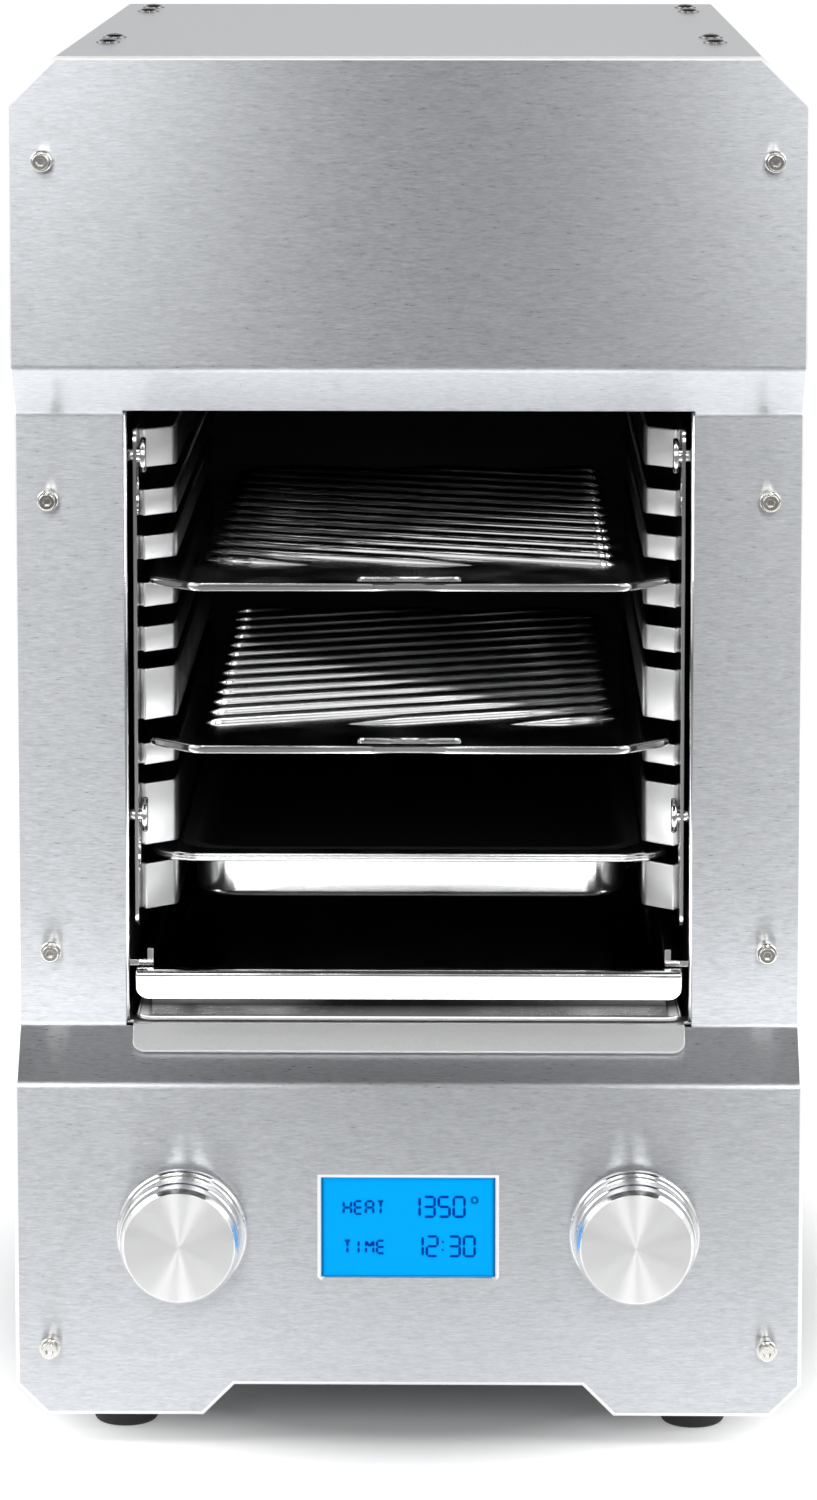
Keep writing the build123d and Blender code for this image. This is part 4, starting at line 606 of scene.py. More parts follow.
class BroilerFinishes(bpy.types.PropertyGroup):
    """Colours and roughness of the finishes."""

    panel_colour: bpy.props.FloatVectorProperty(
        name="Panel", description="Brushed panel steel", default=(0.615, 0.632, 0.658), subtype="COLOR")
    panel_roughness: bpy.props.FloatProperty(
        name="Panel roughness", description="Roughness of the brushed panel", default=0.3, subtype="FACTOR")
    panel_streak: bpy.props.FloatProperty(
        name="Panel streak", description="How far highlights draw out across the grain", default=0.94,
        subtype="FACTOR")
    grain_contrast: bpy.props.FloatVectorProperty(
        name="Grain contrast", description="Darkest and lightest shares of the panel colour in the grain", size=2,
        default=(0.72, 1.24))
    polish_colour: bpy.props.FloatVectorProperty(
        name="Polish", description="Polished racks, plates and trays", default=(0.93, 0.932, 0.935), subtype="COLOR")
    screw_colour: bpy.props.FloatVectorProperty(
        name="Screws", description="Screws and their collars", default=(0.78, 0.76, 0.72), subtype="COLOR")
    knob_colour: bpy.props.FloatVectorProperty(
        name="Knobs", description="Spun aluminium of the knobs", default=(0.95, 0.95, 0.952), subtype="COLOR")
    glow_colour: bpy.props.FloatVectorProperty(
        name="Display glow", description="Light of the display", default=(0.0, 0.4, 1.0), subtype="COLOR")


class BroilerStage(bpy.types.PropertyGroup):
    """Camera of the stage."""

    lens: bpy.props.FloatProperty(
        name="Lens", description="Camera focal length in millimetres", default=129.3, subtype="DISTANCE_CAMERA")
    camera_place: bpy.props.FloatVectorProperty(
        name="Camera", description="Place of the camera", default=(0.022, -1.9535, 0.565), subtype="TRANSLATION")
    camera_pitch: bpy.props.FloatProperty(
        name="Pitch", description="How far the camera looks down", default=math.radians(6.43), subtype="ANGLE")
    camera_yaw: bpy.props.FloatProperty(
        name="Yaw", description="How far the camera turns to its left", default=math.radians(0.71), subtype="ANGLE")
    shift: bpy.props.FloatProperty(
        name="Shift", description="Vertical shift of the lens, in frames", default=-0.254)


# Pieces

class BROILER_OT_cabinet(bpy.types.Operator):
    """Gives the cover, base and other cabinet sheets their brushed and mill finishes, and dresses feet and gland"""

    bl_idname = "broiler.cabinet"
    bl_label = "Cabinet sheets"

    def execute(self, context):
        dress("cover", "cover")
        dress("ledge", "chamber_floor")
        dress("sheet", "back_panel", "base_pan", "frame_upright_left", "frame_upright_right")
        dress("sheet", "hanger_brackets", "heat_shield")
        dress("rubber", "rubber_feet")
        dress("plastic", "cord_gland")
        return {"FINISHED"}


def faceplate_grid(bend):
    """Front of the faceplate: y follows the bent line up z, and x is set by columns that move in at the cut corners.

    Gives the grid of points, and which of its cells are sheet: not chamber opening, window or notch.
    """
    recess = FRONT + RECESS
    top_cut, foot_cut = PLATE_HIGH.z - TOP_CUT, PLATE_LOW.z + FOOT_CUT
    line = round_corners(
        [(FRONT, PLATE_LOW.z), (FRONT, LOWER_BEND), (recess, LOWER_BEND + RECESS), (recess, UPPER_BEND - RECESS),
         (FRONT, UPPER_BEND), (FRONT, PLATE_HIGH.z)],
        [0, bend, INNER_BEND_REACH, INNER_BEND_REACH, bend, 0], 7, closed=False,
    )
    marks = [NOTCH_TOP, WINDOW_LOW, WINDOW_HIGH, OPENING_LOW, OPENING_HIGH, top_cut]
    z = np.unique(np.round(np.concatenate([line[:, 1], marks]), 6))
    y = np.interp(z, line[:, 1], line[:, 0])
    side = PLATE_HIGH.x - np.maximum(z - top_cut, 0) - np.maximum(foot_cut - z, 0)
    notch = NOTCH_HALF + np.maximum(NOTCH_TOP - z, 0)
    flat = np.ones_like(z)
    right = np.stack([WINDOW_HALF * flat, notch, OPENING_HALF * flat, side], -1)
    x = np.concatenate([-right[:, ::-1], right], 1)
    grid = np.stack([x, np.broadcast_to(y[:, None], x.shape), np.broadcast_to(z[:, None], x.shape)], -1)
    middle = (z[:-1] + z[1:])[:, None] / 2
    column = np.abs(np.arange(x.shape[1] - 1) - 3)
    hole = (middle > OPENING_LOW) & (middle < OPENING_HIGH) & (column < 3)
    window = (middle > WINDOW_LOW) & (middle < WINDOW_HIGH) & (column < 1)
    foot = (middle < NOTCH_TOP) & (column < 2)
    return grid, ~(hole | window | foot)


def front_rim(shape):
    """Edges along the front of the sheet's rim, apart from those of the chamber opening and of the window's sill."""
    rim = []
    for edge in shape.edges:
        if len(edge.link_faces) != 2 or edge.calc_face_angle() <= RIM_ANGLE:
            continue
        place = (edge.verts[0].co + edge.verts[1].co) / 2
        front = sum(face.calc_center_median().y - place.y for face in edge.link_faces) > SHEET / 4
        level = OPENING_LOW - SHEET < place.z < OPENING_HIGH + SHEET
        opening = level and abs(place.x) < OPENING_HALF + SHEET
        sill = abs(place.z - WINDOW_LOW) < SHEET and abs(place.x) < WINDOW_HALF
        if front and not opening and not sill:
            rim.append(edge)
    return rim


class BROILER_OT_faceplate(bpy.types.Operator):
    """Builds the bent faceplate, with rounded edges round its outline and window as a piece of their own"""

    bl_idname = "broiler.faceplate"
    bl_label = "Faceplate"

    def execute(self, context):
        sizes = context.scene.broiler_sizes
        grid, cells = faceplate_grid(sizes.bend_radius)
        faces = grid_faces(*grid.shape[:2], False, False)[cells.ravel()]
        used, corners = np.unique(faces, return_inverse=True)
        blank = bpy.data.meshes.new("faceplate_blank")
        blank.from_pydata(grid.reshape(-1, 3)[used].tolist(), [], corners.reshape(-1, 4).tolist())
        shape = bmesh.new()
        shape.from_mesh(blank)
        bpy.data.meshes.remove(blank)
        bmesh.ops.recalc_face_normals(shape, faces=shape.faces)
        facing = sum(face.normal.y * face.calc_area() for face in shape.faces)
        bmesh.ops.solidify(shape, geom=shape.faces[:], thickness=math.copysign(SHEET, -facing))
        bmesh.ops.recalc_face_normals(shape, faces=shape.faces)
        rounded = bmesh.ops.bevel(
            shape, geom=front_rim(shape), offset=sizes.edge_round, segments=4, profile=0.5, affect="EDGES",
            clamp_overlap=False,
        )
        bmesh.ops.recalc_face_normals(shape, faces=shape.faces)
        edges = set(rounded["faces"])
        kept = [face in edges for face in shape.faces]
        # The rounded edges take the finish with the painted highlight
        for name, key, replaces in (("faceplate", "panel", ("front_plate",)), ("faceplate_edges", "edge", ())):
            part = shape.copy()
            wanted = key == "edge"
            away = [face for face, is_edge in zip(part.faces, kept) if is_edge != wanted]
            bmesh.ops.delete(part, geom=away, context="FACES")
            mesh = bpy.data.meshes.new(name)
            part.to_mesh(mesh)
            part.free()
            add_piece(name, mesh, finish(key), "cabinet", replaces, sharp=40.0)
        shape.free()
        return {"FINISHED"}


class BROILER_OT_trim(bpy.types.Operator):
    """Builds the polished hems that stand at both sides of the chamber opening: round bars with narrowed ends"""

    bl_idname = "broiler.trim"
    bl_label = "Opening hems"

    def execute(self, context):
        angle = np.linspace(0, 2 * math.pi, 24, endpoint=False)
        section = HEM_R * np.stack([np.sin(angle), np.cos(angle)], -1)
        patches = []
        for name, side in SIDES:
            low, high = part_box(f"chamber_wall_{name}")
            top = high.z - HEM_DROP
            rise = np.array([low.z, low.z + HEM_TIP, top - HEM_TIP, top])
            swell = np.array(HEM_SWELL)[:, None, None]
            flat = swell * section + np.array([side * HEM_MIDDLE, low.y + HEM_R - HEM_PROUD])
            bar = np.concatenate([flat, np.broadcast_to(rise[:, None, None], (*flat.shape[:2], 1))], -1)
            patches.append((capped(bar), False, True))
        make_piece("opening_hems", patches, finish("polish"), "cabinet", sharp=50.0)
        return {"FINISHED"}


class BROILER_OT_fasteners(bpy.types.Operator):
    """Builds the rivet heads by turning a flanged dome, and gives the screws, collars and studs their polish"""

    bl_idname = "broiler.fasteners"
    bl_label = "Fasteners"

    def execute(self, context):
        dress("screw", "front_screws", "screw_collars", "weld_nuts", "rear_screws", "foot_screws")
        dress("polish", "rack_studs")
        low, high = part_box("top_rivets")
        h, r = np.array(RIVET_PROFILE).T * MM
        profile = round_corners(np.stack([high.z - RIVET_H + h, r], -1), RIVET_SOFT, 4, closed=False)
        near, far = low.y + r.max(), high.y - r.max()
        patches = [
            (revolve(profile, (x, y, 0), (0, 1, 2), 40), True, False)
            for x in (low.x + r.max(), high.x - r.max()) for y in (near, near + RIVET_GAP, far - RIVET_GAP, far)
        ]
        make_piece("rivet_heads", patches, finish("rivet"), "cabinet", ("top_rivets",), sharp=50.0)
        return {"FINISHED"}


class BROILER_OT_inside(bpy.types.Operator):
    """Gives the chamber, heater, insulation, boards and leads their finishes"""

    bl_idname = "broiler.inside"
    bl_label = "Inside pieces"

    def execute(self, context):
        dress("liner", "chamber_wall_left", "chamber_wall_right", "chamber_back")
        dress("plate", "heater_reflector")
        dress("sheath", "heating_element")
        dress("screw", "element_supports", "thermocouple", "encoder_nuts", "encoder_shaft_left", "encoder_shaft_right")
        dress("ceramic", "element_terminals", "terminal_block")
        dress("blanket", "insulation_top", "insulation_left", "insulation_right", "insulation_rear")
        dress("blanket", "insulation_floor")
        dress("board", "control_board", "power_board")
        dress("brass", "board_standoffs")
        dress("sleeve", "heater_leads")
        dress("plastic", "encoder_left", "encoder_right", "encoder_rotor_left", "encoder_rotor_right")
        dress("plastic", "relays", "thermal_cutout", "display_frame", "lcd_module")
        return {"FINISHED"}


class BROILER_OT_racks(bpy.types.Operator):
    """Builds the rack straps as soft-edged flat bars bent round a splayed U, and finishes their plates and guides"""

    bl_idname = "broiler.racks"
    bl_label = "Racks"

    def execute(self, context):
        dress("polish", "rack_plate_left", "rack_plate_right", "tray_guide_left", "tray_guide_right")
        for name, side in SIDES:
            low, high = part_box(f"rack_rungs_{name}")
            outer, inner = (low.x, high.x) if side < 0 else (high.x, low.x)
            path = round_corners(
                [(outer, low.y + STRAP_TOE, 0), (outer - side * STRAP_FOOT, low.y, 0), (inner, low.y + RUNG_LEAD, 0),
                 (inner, high.y - RUNG_LEAD, 0), (outer, high.y, 0)], STRAP_BENDS, 7, closed=False,
            )
            patches = []
            for bottom, top in np.array(RUNG_LEVELS) * MM:
                corners = [(0, bottom), (0, top), (side * STRAP, top), (side * STRAP, bottom)]
                section = round_corners(corners, STRAP_SOFT, 4)
                patches.append((capped(sweep(section, path, (0, 0, 1))), False, True))
            # The straps' finish paints shade on them behind their front tabs
            make_piece(
                f"{name}_rack_straps", patches, finish("strap"), "cabinet",
                (f"rack_rungs_{name}",), sharp=50.0,
            )
        return {"FINISHED"}


def grill_patch(low, high):
    """Flat plate round a slot: along each angle a closed loop runs out over the top, round the rim and back beneath."""
    half, front, back = high.x, low.y, high.y
    shoulder, cheek = front + GRILL_CORNER, half - GRILL_CORNER
    outline = round_corners(
        [(half, back), (-half, back), (-half, shoulder), (-cheek, front), (cheek, front), (half, shoulder)],
        GRILL_ROUNDS, 9,
    )
    centre = np.array([0.0, front + GRIP_MIDDLE])
    signs = np.array([(1, 1), (-1, 1), (-1, -1), (1, -1)])
    slot = round_corners(centre + signs * (GRIP_HALF, GRIP_DEPTH), GRIP_ROUND, 5)
    key = np.concatenate([outline - centre, slot - centre])
    even = np.linspace(-math.pi, math.pi, 96, endpoint=False)
    angle = np.unique(np.round(np.concatenate([np.arctan2(key[:, 1], key[:, 0]), even]), 5))
    outer = ray_reach(outline, centre, angle)[:, None]
    inner = ray_reach(slot, centre, angle)[:, None]
    soft, bottom, top = GRILL_SOFT, low.z, low.z + GRILL_THICK
    share = np.array([0, 0, 0, 0.5, 1, 1, 1, 1, 0.5, 0])
    inset = soft * np.array([0, 0, 1, 0, -1, 0, 0, -1, 0, 1])
    height = np.array(
        [bottom + soft, top - soft, top, top, top, top - soft, bottom + soft, bottom, bottom, bottom]
    )
    reach = inner * (1 - share) + outer * share + inset
    x = centre[0] + reach * np.cos(angle)[:, None]
    y = centre[1] + reach * np.sin(angle)[:, None]
    return np.stack([x, y, np.broadcast_to(height, x.shape)], -1), top


def rib_patches(low, top, slant, sizes):
    """Grill ribs: on each slanted line cut to the field, a ridge top + h sqrt(1 - t^2) that narrows to its ends."""
    half, front, back = RIB_FIELD_HALF, low.y + RIB_FIELD_FRONT, low.y + RIB_FIELD_BACK
    slope = slant * math.tan(sizes.rib_angle)
    rise = half * abs(slope)
    base = np.arange(front - rise + RIB_START, back + rise, sizes.rib_pitch)
    reach = np.sort(np.stack([(front - base) / slope, (back - base) / slope], -1), axis=1)
    start = np.maximum(reach[:, 0], -half)
    end = np.minimum(reach[:, 1], half)
    keep = end - start > RIB_LEAST
    base, start, end = base[keep], start[keep], end[keep]
    along = np.concatenate([np.linspace(0, 0.14, 8), np.linspace(0.2, 0.8, 9), np.linspace(0.86, 1, 8)])
    length = (end - start)[:, None]
    x = start[:, None] + length * along
    points = np.where(np.stack([start, end], -1) == reach[keep], RIB_CUT, RIB_POINT)
    near_end = np.minimum(along * length / points[:, :1], (1 - along) * length / points[:, 1:])
    narrow = np.clip(near_end, 0, 1) ** 0.8
    t = np.sin(np.linspace(-1, 1, 13) * math.pi / 2)
    y = (base[:, None] + slope * x)[:, :, None] + t * (narrow * sizes.rib_width / 2)[:, :, None]
    z = top - RIB_SINK + (sizes.rib_height + RIB_SINK) * np.sqrt(1 - t ** 2) * narrow[:, :, None]
    grid = np.stack([np.broadcast_to(x[:, :, None], y.shape), y, z], -1)
    return [(rib, False, False) for rib in grid]


class BROILER_OT_grill_plates(bpy.types.Operator):
    """Builds the two grill plates with their grip slots, soft rims and rows of pointed ribs"""

    bl_idname = "broiler.grill_plates"
    bl_label = "Grill plates"

    def execute(self, context):
        sizes = context.scene.broiler_sizes
        # The upper ribs carry painted shade that darkens them towards the back of the chamber
        for name, slant, key in (("upper", -1, "shaded_ribs"), ("lower", 1, "polish")):
            low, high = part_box(f"{name}_grill_plate")
            plate, top = grill_patch(low, high)
            make_piece(
                f"{name}_grill", [(plate, True, True)], finish("plate"), f"{name}_plate",
                (f"{name}_grill_plate",),
            )
            make_piece(
                f"{name}_grill_ribs", rib_patches(low, top, slant, sizes), finish(key), f"{name}_plate",
                sharp=60.0, outward=False,
            )
        return {"FINISHED"}


def pan_rings(line):
    """Rings of the pan's body (half x, half y, corner radius, z) at each (inset, z) of a line."""
    return [(PAN_BODY[0] - s, PAN_BODY[1] - s, max(PAN_BODY_R - max(s, 0), PAN_LEAST_R), z) for s, z in line]


class BROILER_OT_pan(bpy.types.Operator):
    """Builds the drawn pan as rings of rounded rectangles: a dark lining, and steel round the rim and beneath"""

    bl_idname = "broiler.pan"
    bl_label = "Pan"

    def execute(self, context):
        low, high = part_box("pan")
        top, bottom = high.z, low.z
        floor, flange, depth = bottom + PAN_WALL, top - PAN_WALL, top - bottom
        slant = math.tan(PAN_DRAFT)
        inside = round_corners(
            [(PAN_FLOOR_RUN, floor), (PAN_WALL + (depth - PAN_WALL) * slant, floor), (PAN_WALL, top),
             (-PAN_FLANGE, top)], PAN_INSIDE_BENDS, 7, closed=False,
        )
        foot = top - RIM_H
        seam = (top + foot) / 2
        rim = round_corners(
            [(RIM_BEAD, top), (0, top), (0, seam + SEAM_HALF), (SEAM_DEEP, seam), (0, seam - SEAM_HALF), (0, foot),
             (RIM_BEAD, foot), (RIM_BEAD, flange)], RIM_BENDS, 5, closed=False,
        )
        under = round_corners(
            [(-PAN_FLANGE, flange), (PAN_WALL * slant, flange), (depth * slant, bottom), (PAN_FLOOR_RUN, bottom)],
            PAN_UNDER_BENDS, 8, closed=False,
        )
        spare = PAN_BODY[1] - PAN_BODY[0]
        rim_x, rim_y, middle = high.x, (high.y - low.y) / 2, (low.y + high.y) / 2
        steel = pan_rings(inside[-1:])
        steel += [(rim_x - s, rim_y - s, PAN_RIM_R - s, z) for s, z in rim]
        steel += pan_rings(under) + [(0.0, spare, 0.0, bottom)]
        lining = [(0.0, spare, 0.0, floor)] + pan_rings(inside)
        make_piece(
            "baking_pan", [(rounded_rings(steel, middle, 16), True, False)], finish("pan"), "pan",
            ("pan",), sharp=40.0,
        )
        make_piece(
            "pan_lining", [(rounded_rings(lining, middle, 16)[:, ::-1], True, False)], finish("liner"), "pan",
            sharp=40.0, outward=False,
        )
        return {"FINISHED"}


def flap_grid(low, high):
    """Pull flap: a bent line (up, forward, down) carried along X, its last run shortened to round the lower corners."""
    front, half = low.y + FLAP_LEDGE, high.x - FLAP_INSET
    line = round_corners(
        [(front, high.z - FLAP_LEAF), (front, high.z), (low.y, high.z), (low.y + FLAP_BACK, FLAP_BOTTOM)],
        FLAP_BENDS, 8, closed=False,
    )
    fixed, end = line[:-1], line[-1]
    place = np.concatenate([FLAP_PLACES - half, [0.0], (half - FLAP_PLACES)[::-1]])
    margin = np.minimum(half - np.abs(place), FLAP_ROUND)
    cut = FLAP_ROUND - np.sqrt(np.maximum(FLAP_ROUND ** 2 - (FLAP_ROUND - margin) ** 2, 0))
    run = end - fixed[-1]
    length = np.linalg.norm(run)
    share = np.linspace(0, 1, 8)[1:]
    face = fixed[-1] + (run / length) * ((length - cut)[:, None] * share)[..., None]
    centre = np.concatenate([np.broadcast_to(fixed, (len(place), *fixed.shape)), face], 1)
    step = np.gradient(centre, axis=1)
    normal = np.stack([-step[..., 1], step[..., 0]], -1)
    normal /= np.linalg.norm(normal, axis=-1, keepdims=True)
    edge = np.minimum((half - np.abs(place)) / FLAP_EDGE, 1)
    thick = (TRAY_WALL / 2 * np.sqrt(np.clip(1 - (1 - edge) ** 2, 0, 1)))[:, None, None]
    loop = np.concatenate([centre + normal * thick, (centre - normal * thick)[:, ::-1]], 1)
    x = np.broadcast_to(place[:, None, None], (*loop.shape[:2], 1))
    return np.concatenate([x, loop], -1)


class BROILER_OT_drip_tray(bpy.types.Operator):
    """Builds the drip tray as rings of rounded rectangles, with its folded pull flap"""

    bl_idname = "broiler.drip_tray"
    bl_label = "Drip tray"

    def execute(self, context):
        low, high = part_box("drip_tray")
        front, back, base = low.y + FLAP_LEDGE, high.y, low.z
        floor, half_x, half_y = base + TRAY_WALL, high.x, (back - front) / 2
        profile = round_corners(
            [(TRAY_FLOOR_RUN, base), (-TRAY_LEAN, base), (TRAY_LEAN, TRAY_TOP), (TRAY_LEAN + TRAY_WALL, TRAY_TOP),
             (TRAY_WALL - TRAY_LEAN, floor), (TRAY_FLOOR_RUN, floor)], TRAY_BENDS, 7, closed=False,
        )
        rings = [(0.0, half_y - half_x, 0.0, base)]
        rings += [(half_x - s, half_y - s, max(TRAY_CORNER - s, TRAY_LEAST_R), z) for s, z in profile]
        rings += [(0.0, half_y - half_x, 0.0, floor)]
        # The tray's finish paints the shadow of the pull flap on its wall
        make_piece(
            "drip_drawer", [(rounded_rings(rings, (front + back) / 2, 10), True, False)], finish("tray"),
            "drip_tray", ("drip_tray",), sharp=40.0,
        )
        make_piece(
            "drip_flap", [(flap_grid(low, high), False, True)], finish("polish"), "drip_tray",
            sharp=40.0,
        )
        return {"FINISHED"}


class BROILER_OT_knobs(bpy.types.Operator):
    """Builds the two knobs by turning one profile: base ring, groove, stepped barrel, bevel and a shallow face"""

    bl_idname = "broiler.knobs"
    bl_label = "Knobs"

    def execute(self, context):
        out, r = np.array(KNOB_PROFILE).T * MM
        profile = round_corners(np.stack([FRONT - out, r], -1), KNOB_SOFT, 5, closed=False)
        run = np.concatenate([[0], np.cumsum(np.linalg.norm(np.diff(profile, axis=0), axis=1))])
        for name, _ in SIDES:
            low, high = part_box(f"knob_{name}")
            grid = revolve(profile, ((low.x + high.x) / 2, 0, (low.z + high.z) / 2))
            turn = np.linspace(0, 1, len(grid), endpoint=False)
            uv = np.stack(np.broadcast_arrays(turn[:, None], run[None, :]), -1)
            make_piece(
                f"{name}_dial", [(grid, True, False)], finish("knob"), f"{name}_knob",
                (f"knob_{name}",), sharp=50.0, uv=uv,
            )
        return {"FINISHED"}


# Strokes of the display's characters on a cell one wide and two tall
STROKES = {
    "a": ((0, 2), (1, 2)), "b": ((1, 2), (1, 1)), "c": ((1, 1), (1, 0)), "d": ((0, 0), (1, 0)),
    "e": ((0, 0), (0, 1)), "f": ((0, 1), (0, 2)), "g": ((0, 1), (1, 1)),
    "h": ((0.5, 2), (0.5, 1)), "i": ((0.5, 1), (0.5, 0)), "j": ((0, 2), (0.5, 1)), "k": ((1, 2), (0.5, 1)),
}
CHARACTERS = {
    "0": "abcdef", "1": "bc", "2": "abged", "3": "abgcd", "5": "afgcd",
    "H": "fegbc", "E": "afged", "A": "efabcg", "T": "ahi", "I": "hi", "M": "efbcjk",
}


def written_strokes(text, left, base, width, height, step):
    """Ends of the strokes of a line of characters, as pairs of (x, z) points in metres."""
    ends = [
        (left + place * step + u * width, base + v * height / 2)
        for place, letter in enumerate(text) for key in CHARACTERS[letter] for u, v in STROKES[key]
    ]
    return np.array(ends).reshape(-1, 2, 2)


def stroke_patches(strokes, half, y):
    """Pointed bars: each stroke at 0, e, 1 - e and 1 of its length, half-width 0, h, h, 0, a small gap at its ends."""
    run = strokes[:, 1] - strokes[:, 0]
    length = np.linalg.norm(run, axis=1, keepdims=True)
    along = run / length
    side = np.stack([-along[:, 1], along[:, 0]], -1)
    gap, start = STROKE_GAP * half, np.zeros_like(length)
    place = np.stack([start + gap, start + gap + half, length - gap - half, length - gap], 1)
    width = np.array([0, half, half, 0])
    middle = strokes[:, None, 0] + along[:, None] * place
    flat = np.stack([middle + sign * side[:, None] * width[None, :, None] for sign in (1, -1)], 2)
    points = np.stack([flat[..., 0], np.full(flat.shape[:-1], y), flat[..., 1]], -1)
    return [(bar, False, False) for bar in points]


class BROILER_OT_display(bpy.types.Operator):
    """Builds the lit panel behind the window and its dark characters, and clears the window"""

    bl_idname = "broiler.display"
    bl_label = "Display"

    def execute(self, context):
        dress("window", "display_lens")
        face = MODULE_LOW.y - PANEL_GAP
        x, z = np.meshgrid(
            np.linspace(MODULE_LOW.x + PANEL_INSET, MODULE_HIGH.x - PANEL_INSET, 9),
            np.linspace(MODULE_LOW.z + PANEL_INSET, MODULE_HIGH.z - PANEL_INSET, 7),
        )
        panel = np.stack([x, np.full_like(x, face), z], -1)
        make_piece(
            "display_panel", [(panel, False, False)], finish("backlight"), "cabinet", outward=False,
        )
        tall = context.scene.broiler_sizes.digit_height
        small = tall * WORD_TALL
        middle = (LENS_LOW.z + LENS_HIGH.z) / 2
        upper, lower = middle + TOP_LINE, middle + LOWER_LINE
        words = np.concatenate([
            written_strokes(text, WORD_LEFT, line + WORD_LIFT, small * WORD_WIDE, small, tall * WORD_STEP)
            for text, line in (("HEAT", upper), ("TIME", lower))
        ])
        digits = np.concatenate([
            written_strokes(text, left, line, tall * DIGIT_WIDE, tall, tall * DIGIT_STEP)
            for text, left, line in (
                ("1350", DEGREES_LEFT, upper), ("12", HOURS_LEFT, lower), ("30", MINUTES_LEFT, lower),
            )
        ])
        feet = lower + np.array(COLON_RISES) * tall
        dots = np.array([[(COLON_PLACE, foot), (COLON_PLACE, foot + COLON_TALL)] for foot in feet])
        angle = np.linspace(0, 2 * math.pi, 13)
        circle = np.stack(
            [DEGREE_PLACE + DEGREE_R * np.cos(angle), upper + tall - DEGREE_R + DEGREE_R * np.sin(angle)], -1,
        )
        ring = np.stack([circle[:-1], circle[1:]], 1)
        patches = []
        for strokes, half in (
            (words, THIN_STROKE), (digits, DIGIT_STROKE), (dots, THIN_STROKE), (ring, RING_STROKE),
        ):
            patches += stroke_patches(strokes, half, face - INK_GAP)
        make_piece("display_characters", patches, finish("ink"), "cabinet", outward=False)
        return {"FINISHED"}


# Stage

# Levels along Y: the floor's own tone, the light it gives, and the tone of the sheet that only reflections see
FLOOR_TONE = ((-30.0, 0.86), (-0.54, 0.82), (-0.3, 0.86), (0.9, 0.86))
FLOOR_GLOW = ((-0.34, 0.0), (-0.29, 0.6), (-0.2, 0.6), (0.1, 0.35), (0.8, 0.75))
FLAG_TONE = ((-0.66, 0.25), (-0.54, 0.82))
FLAG_HEIGHT = 0.001
STAGE_REACH = 30.0
# The floor gives no light within an ellipse under the part: one over its half sizes, and where its edge starts and ends
SHADE_REACH, SHADE_EDGE = (1 / 0.15, 1 / 0.2, 0.0), (0.85, 1.2)
# Levels of the surroundings, and the parts of a direction over which one turns into the next
SKY_FRONT, SKY_SIDE, SKY_BACK, SKY_TOP = 0.235, 1.0, 0.68, 0.03
SKY_BLENDS = (("Y", -0.97, -0.8), ("Y", 0.45, 0.75), ("Z", 0.25, 0.8))
# Lights: name, place, where it aims, size and brightness
LIGHTS = (
    ("left softbox", (-1.5, -0.25, 1.35), (0, 0, 0.22), (1.3, 1.3), 3.8),
    ("right softbox", (1.5, -0.25, 1.35), (0, 0, 0.22), (1.3, 1.3), 3.5),
    ("sill light", (0, -0.2225, 0.128), (0, -0.2224, 1.0), (0.6, 0.045), 2.4),
    ("pan light", (0, -0.28, 0.128), (0, -0.2799, 1.0), (0.17, 0.07), 1.2),
    ("left card", (-0.44, -2.5, 1.25), (-0.44, -1.5, 1.25), (0.46, 1.1), 5.7),
    ("right card", (0.44, -2.5, 1.25), (0.44, -1.5, 1.25), (0.46, 1.1), 5.9),
)


def soft_light(name, place, aim, size, glow):
    """Area light whose power gives the wanted brightness: glow * pi * area."""
    light = bpy.data.lights.new(name, "AREA")
    light.shape = "RECTANGLE"
    light.size, light.size_y = size
    light.energy = glow * math.pi * size[0] * size[1]
    holder = bpy.data.objects.new(name, light)
    bpy.context.scene.collection.objects.link(holder)
    x, y, z = np.asarray(aim, float) - np.asarray(place, float)
    holder.location = place
    holder.rotation_euler = (math.atan2(math.hypot(x, y), -z), 0, math.atan2(-x, y))
    holder.visible_camera = False


def tone_ramp(tree, value, stops):
    """A grey that runs through (place, level) stops."""
    low, high = stops[0][0], stops[-1][0]
    along = node(tree, "ShaderNodeMapRange", {"Value": value, "From Min": low, "From Max": high})
    ramp = node(tree, "ShaderNodeValToRGB", {"Fac": along.outputs[0]})
    for place, _ in stops[1:-1]:
        ramp.color_ramp.elements.new((place - low) / (high - low))
    for stop, (_, level) in zip(ramp.color_ramp.elements, stops):
        stop.color = (level, level, level, 1)
    return ramp.outputs["Color"]


def stage_sheet(name, material, back, height):
    """A level sheet of the stage, from far in front of the part back to y = back."""
    x, y = np.meshgrid(np.linspace(-STAGE_REACH, STAGE_REACH, 7), np.linspace(-STAGE_REACH, back, 7), indexing="ij")
    mesh = bpy.data.meshes.new(name)
    points = np.stack([x, y, np.full_like(x, height)], -1).reshape(-1, 3)
    mesh.from_pydata(points.tolist(), [], grid_faces(*x.shape, False, False).tolist())
    mesh.materials.append(material)
    sheet = bpy.data.objects.new(name, mesh)
    bpy.context.scene.collection.objects.link(sheet)
    return sheet


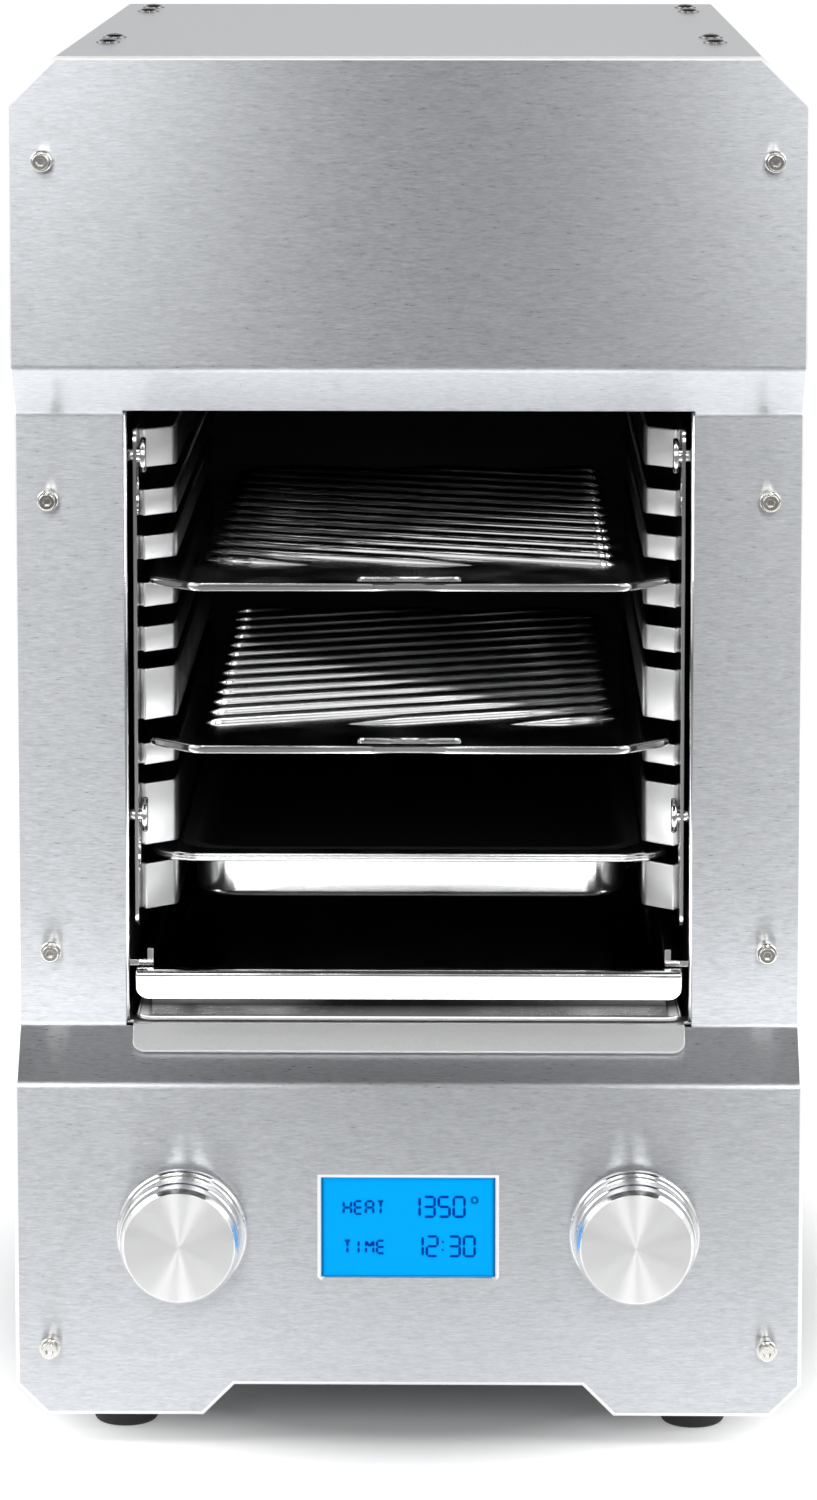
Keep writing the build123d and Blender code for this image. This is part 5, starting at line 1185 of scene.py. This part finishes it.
def pale_floor():
    """Floor material: its tone and the light it gives run along Y, with no light given under the part."""
    material, tree, surface = open_material("pale floor", Roughness=0.9, Emission_Strength=1.0)
    place = object_coordinates(tree)
    depth = node(tree, "ShaderNodeSeparateXYZ", {0: place}).outputs["Y"]
    drawn = node(tree, "ShaderNodeVectorMath", {0: place, 1: SHADE_REACH}, operation="MULTIPLY")
    away = node(tree, "ShaderNodeVectorMath", {0: drawn.outputs[0]}, operation="LENGTH").outputs["Value"]
    start, end = SHADE_EDGE
    clear = node(tree, "ShaderNodeMapRange", {"Value": away, "From Min": start, "From Max": end}).outputs[0]
    glow = tone_ramp(tree, depth, FLOOR_GLOW)
    shown = node(tree, "ShaderNodeVectorMath", {0: glow, "Scale": clear}, operation="SCALE")
    feed(tree, surface, Base_Color=tone_ramp(tree, depth, FLOOR_TONE), Emission_Color=shown.outputs[0])
    return material


def grey_cloth():
    """Material of the sheet that only reflections see: its tone runs along Y."""
    material, tree, surface = open_material("grey cloth", Roughness=0.9)
    depth = node(tree, "ShaderNodeSeparateXYZ", {0: object_coordinates(tree)}).outputs["Y"]
    feed(tree, surface, Base_Color=tone_ramp(tree, depth, FLAG_TONE))
    return material


def studio_world():
    """Surroundings by direction: a dim front, bright sides, a lit back and a dark top, blended by smooth masks."""
    world = bpy.data.worlds.new("studio")
    world.use_nodes = True
    tree = world.node_tree
    tree.nodes.clear()
    way = node(tree, "ShaderNodeSeparateXYZ", {0: node(tree, "ShaderNodeTexCoord").outputs["Generated"]}).outputs
    side, behind, height = (
        node(
            tree, "ShaderNodeMapRange", {"Value": way[axis], "From Min": start, "From Max": end},
            interpolation_type="SMOOTHSTEP",
        ).outputs[0]
        for axis, start, end in SKY_BLENDS
    )
    level = node(tree, "ShaderNodeMath", {0: 1.0, 1: behind}, operation="SUBTRACT")
    upward = node(tree, "ShaderNodeMath", {0: height, 1: level.outputs[0]}, operation="MULTIPLY")
    around = vary(tree, side, SKY_FRONT, SKY_SIDE)
    circle = node(tree, "ShaderNodeMix", {0: behind, 2: around, 3: SKY_BACK}).outputs[0]
    sky = node(tree, "ShaderNodeMix", {0: upward.outputs[0], 2: circle, 3: SKY_TOP}).outputs[0]
    back = node(tree, "ShaderNodeBackground", {"Color": sky, "Strength": 1.0})
    node(tree, "ShaderNodeOutputWorld", {"Surface": back.outputs[0]})
    return world


class BROILER_OT_stage(bpy.types.Operator):
    """Sets the pale floor, the soft studio lights, the grey surroundings and the camera"""

    bl_idname = "broiler.stage"
    bl_label = "Stage"

    def execute(self, context):
        scene = context.scene
        stage = scene.broiler_stage
        scene.view_settings.view_transform = "Standard"
        stage_sheet("floor", pale_floor(), STAGE_REACH, 0.0)
        flag = stage_sheet("flag", grey_cloth(), FLAG_TONE[-1][0], FLAG_HEIGHT)
        flag.visible_camera = flag.visible_diffuse = flag.visible_shadow = False
        scene.world = studio_world()
        for light in LIGHTS:
            soft_light(*light)

        camera = bpy.data.cameras.new("camera")
        camera.lens = stage.lens
        camera.sensor_width = 36.0
        camera.shift_y = stage.shift
        holder = bpy.data.objects.new("camera", camera)
        holder.location = stage.camera_place
        holder.rotation_euler = (math.pi / 2 - stage.camera_pitch, 0, stage.camera_yaw)
        scene.collection.objects.link(holder)
        scene.camera = holder
        return {"FINISHED"}


class BROILER_PT_pieces(bpy.types.Panel):
    """Lists the broiler's pieces in the sidebar"""

    bl_idname = "BROILER_PT_pieces"
    bl_label = "Electric broiler"
    bl_space_type = "VIEW_3D"
    bl_region_type = "UI"
    bl_category = "Broiler"

    def draw(self, context):
        for piece in OPERATORS:
            self.layout.operator(piece.bl_idname)


OPERATORS = (
    BROILER_OT_cabinet, BROILER_OT_faceplate, BROILER_OT_trim, BROILER_OT_fasteners, BROILER_OT_inside,
    BROILER_OT_racks, BROILER_OT_grill_plates, BROILER_OT_pan, BROILER_OT_drip_tray, BROILER_OT_knobs,
    BROILER_OT_display, BROILER_OT_stage,
)
SETTINGS = {
    "broiler_sizes": BroilerSizes, "broiler_finishes": BroilerFinishes, "broiler_stage": BroilerStage,
}


def register():
    for kind in (*SETTINGS.values(), *OPERATORS, BROILER_PT_pieces):
        bpy.utils.register_class(kind)
    for name, kind in SETTINGS.items():
        setattr(bpy.types.Scene, name, bpy.props.PointerProperty(type=kind))


def unregister():
    for name in SETTINGS:
        delattr(bpy.types.Scene, name)
    for kind in reversed((*SETTINGS.values(), *OPERATORS, BROILER_PT_pieces)):
        bpy.utils.unregister_class(kind)


def main():
    register()
    for piece in OPERATORS:
        family, action = piece.bl_idname.split(".")
        getattr(getattr(bpy.ops, family), action)()


if __name__ == "__main__":
    main()
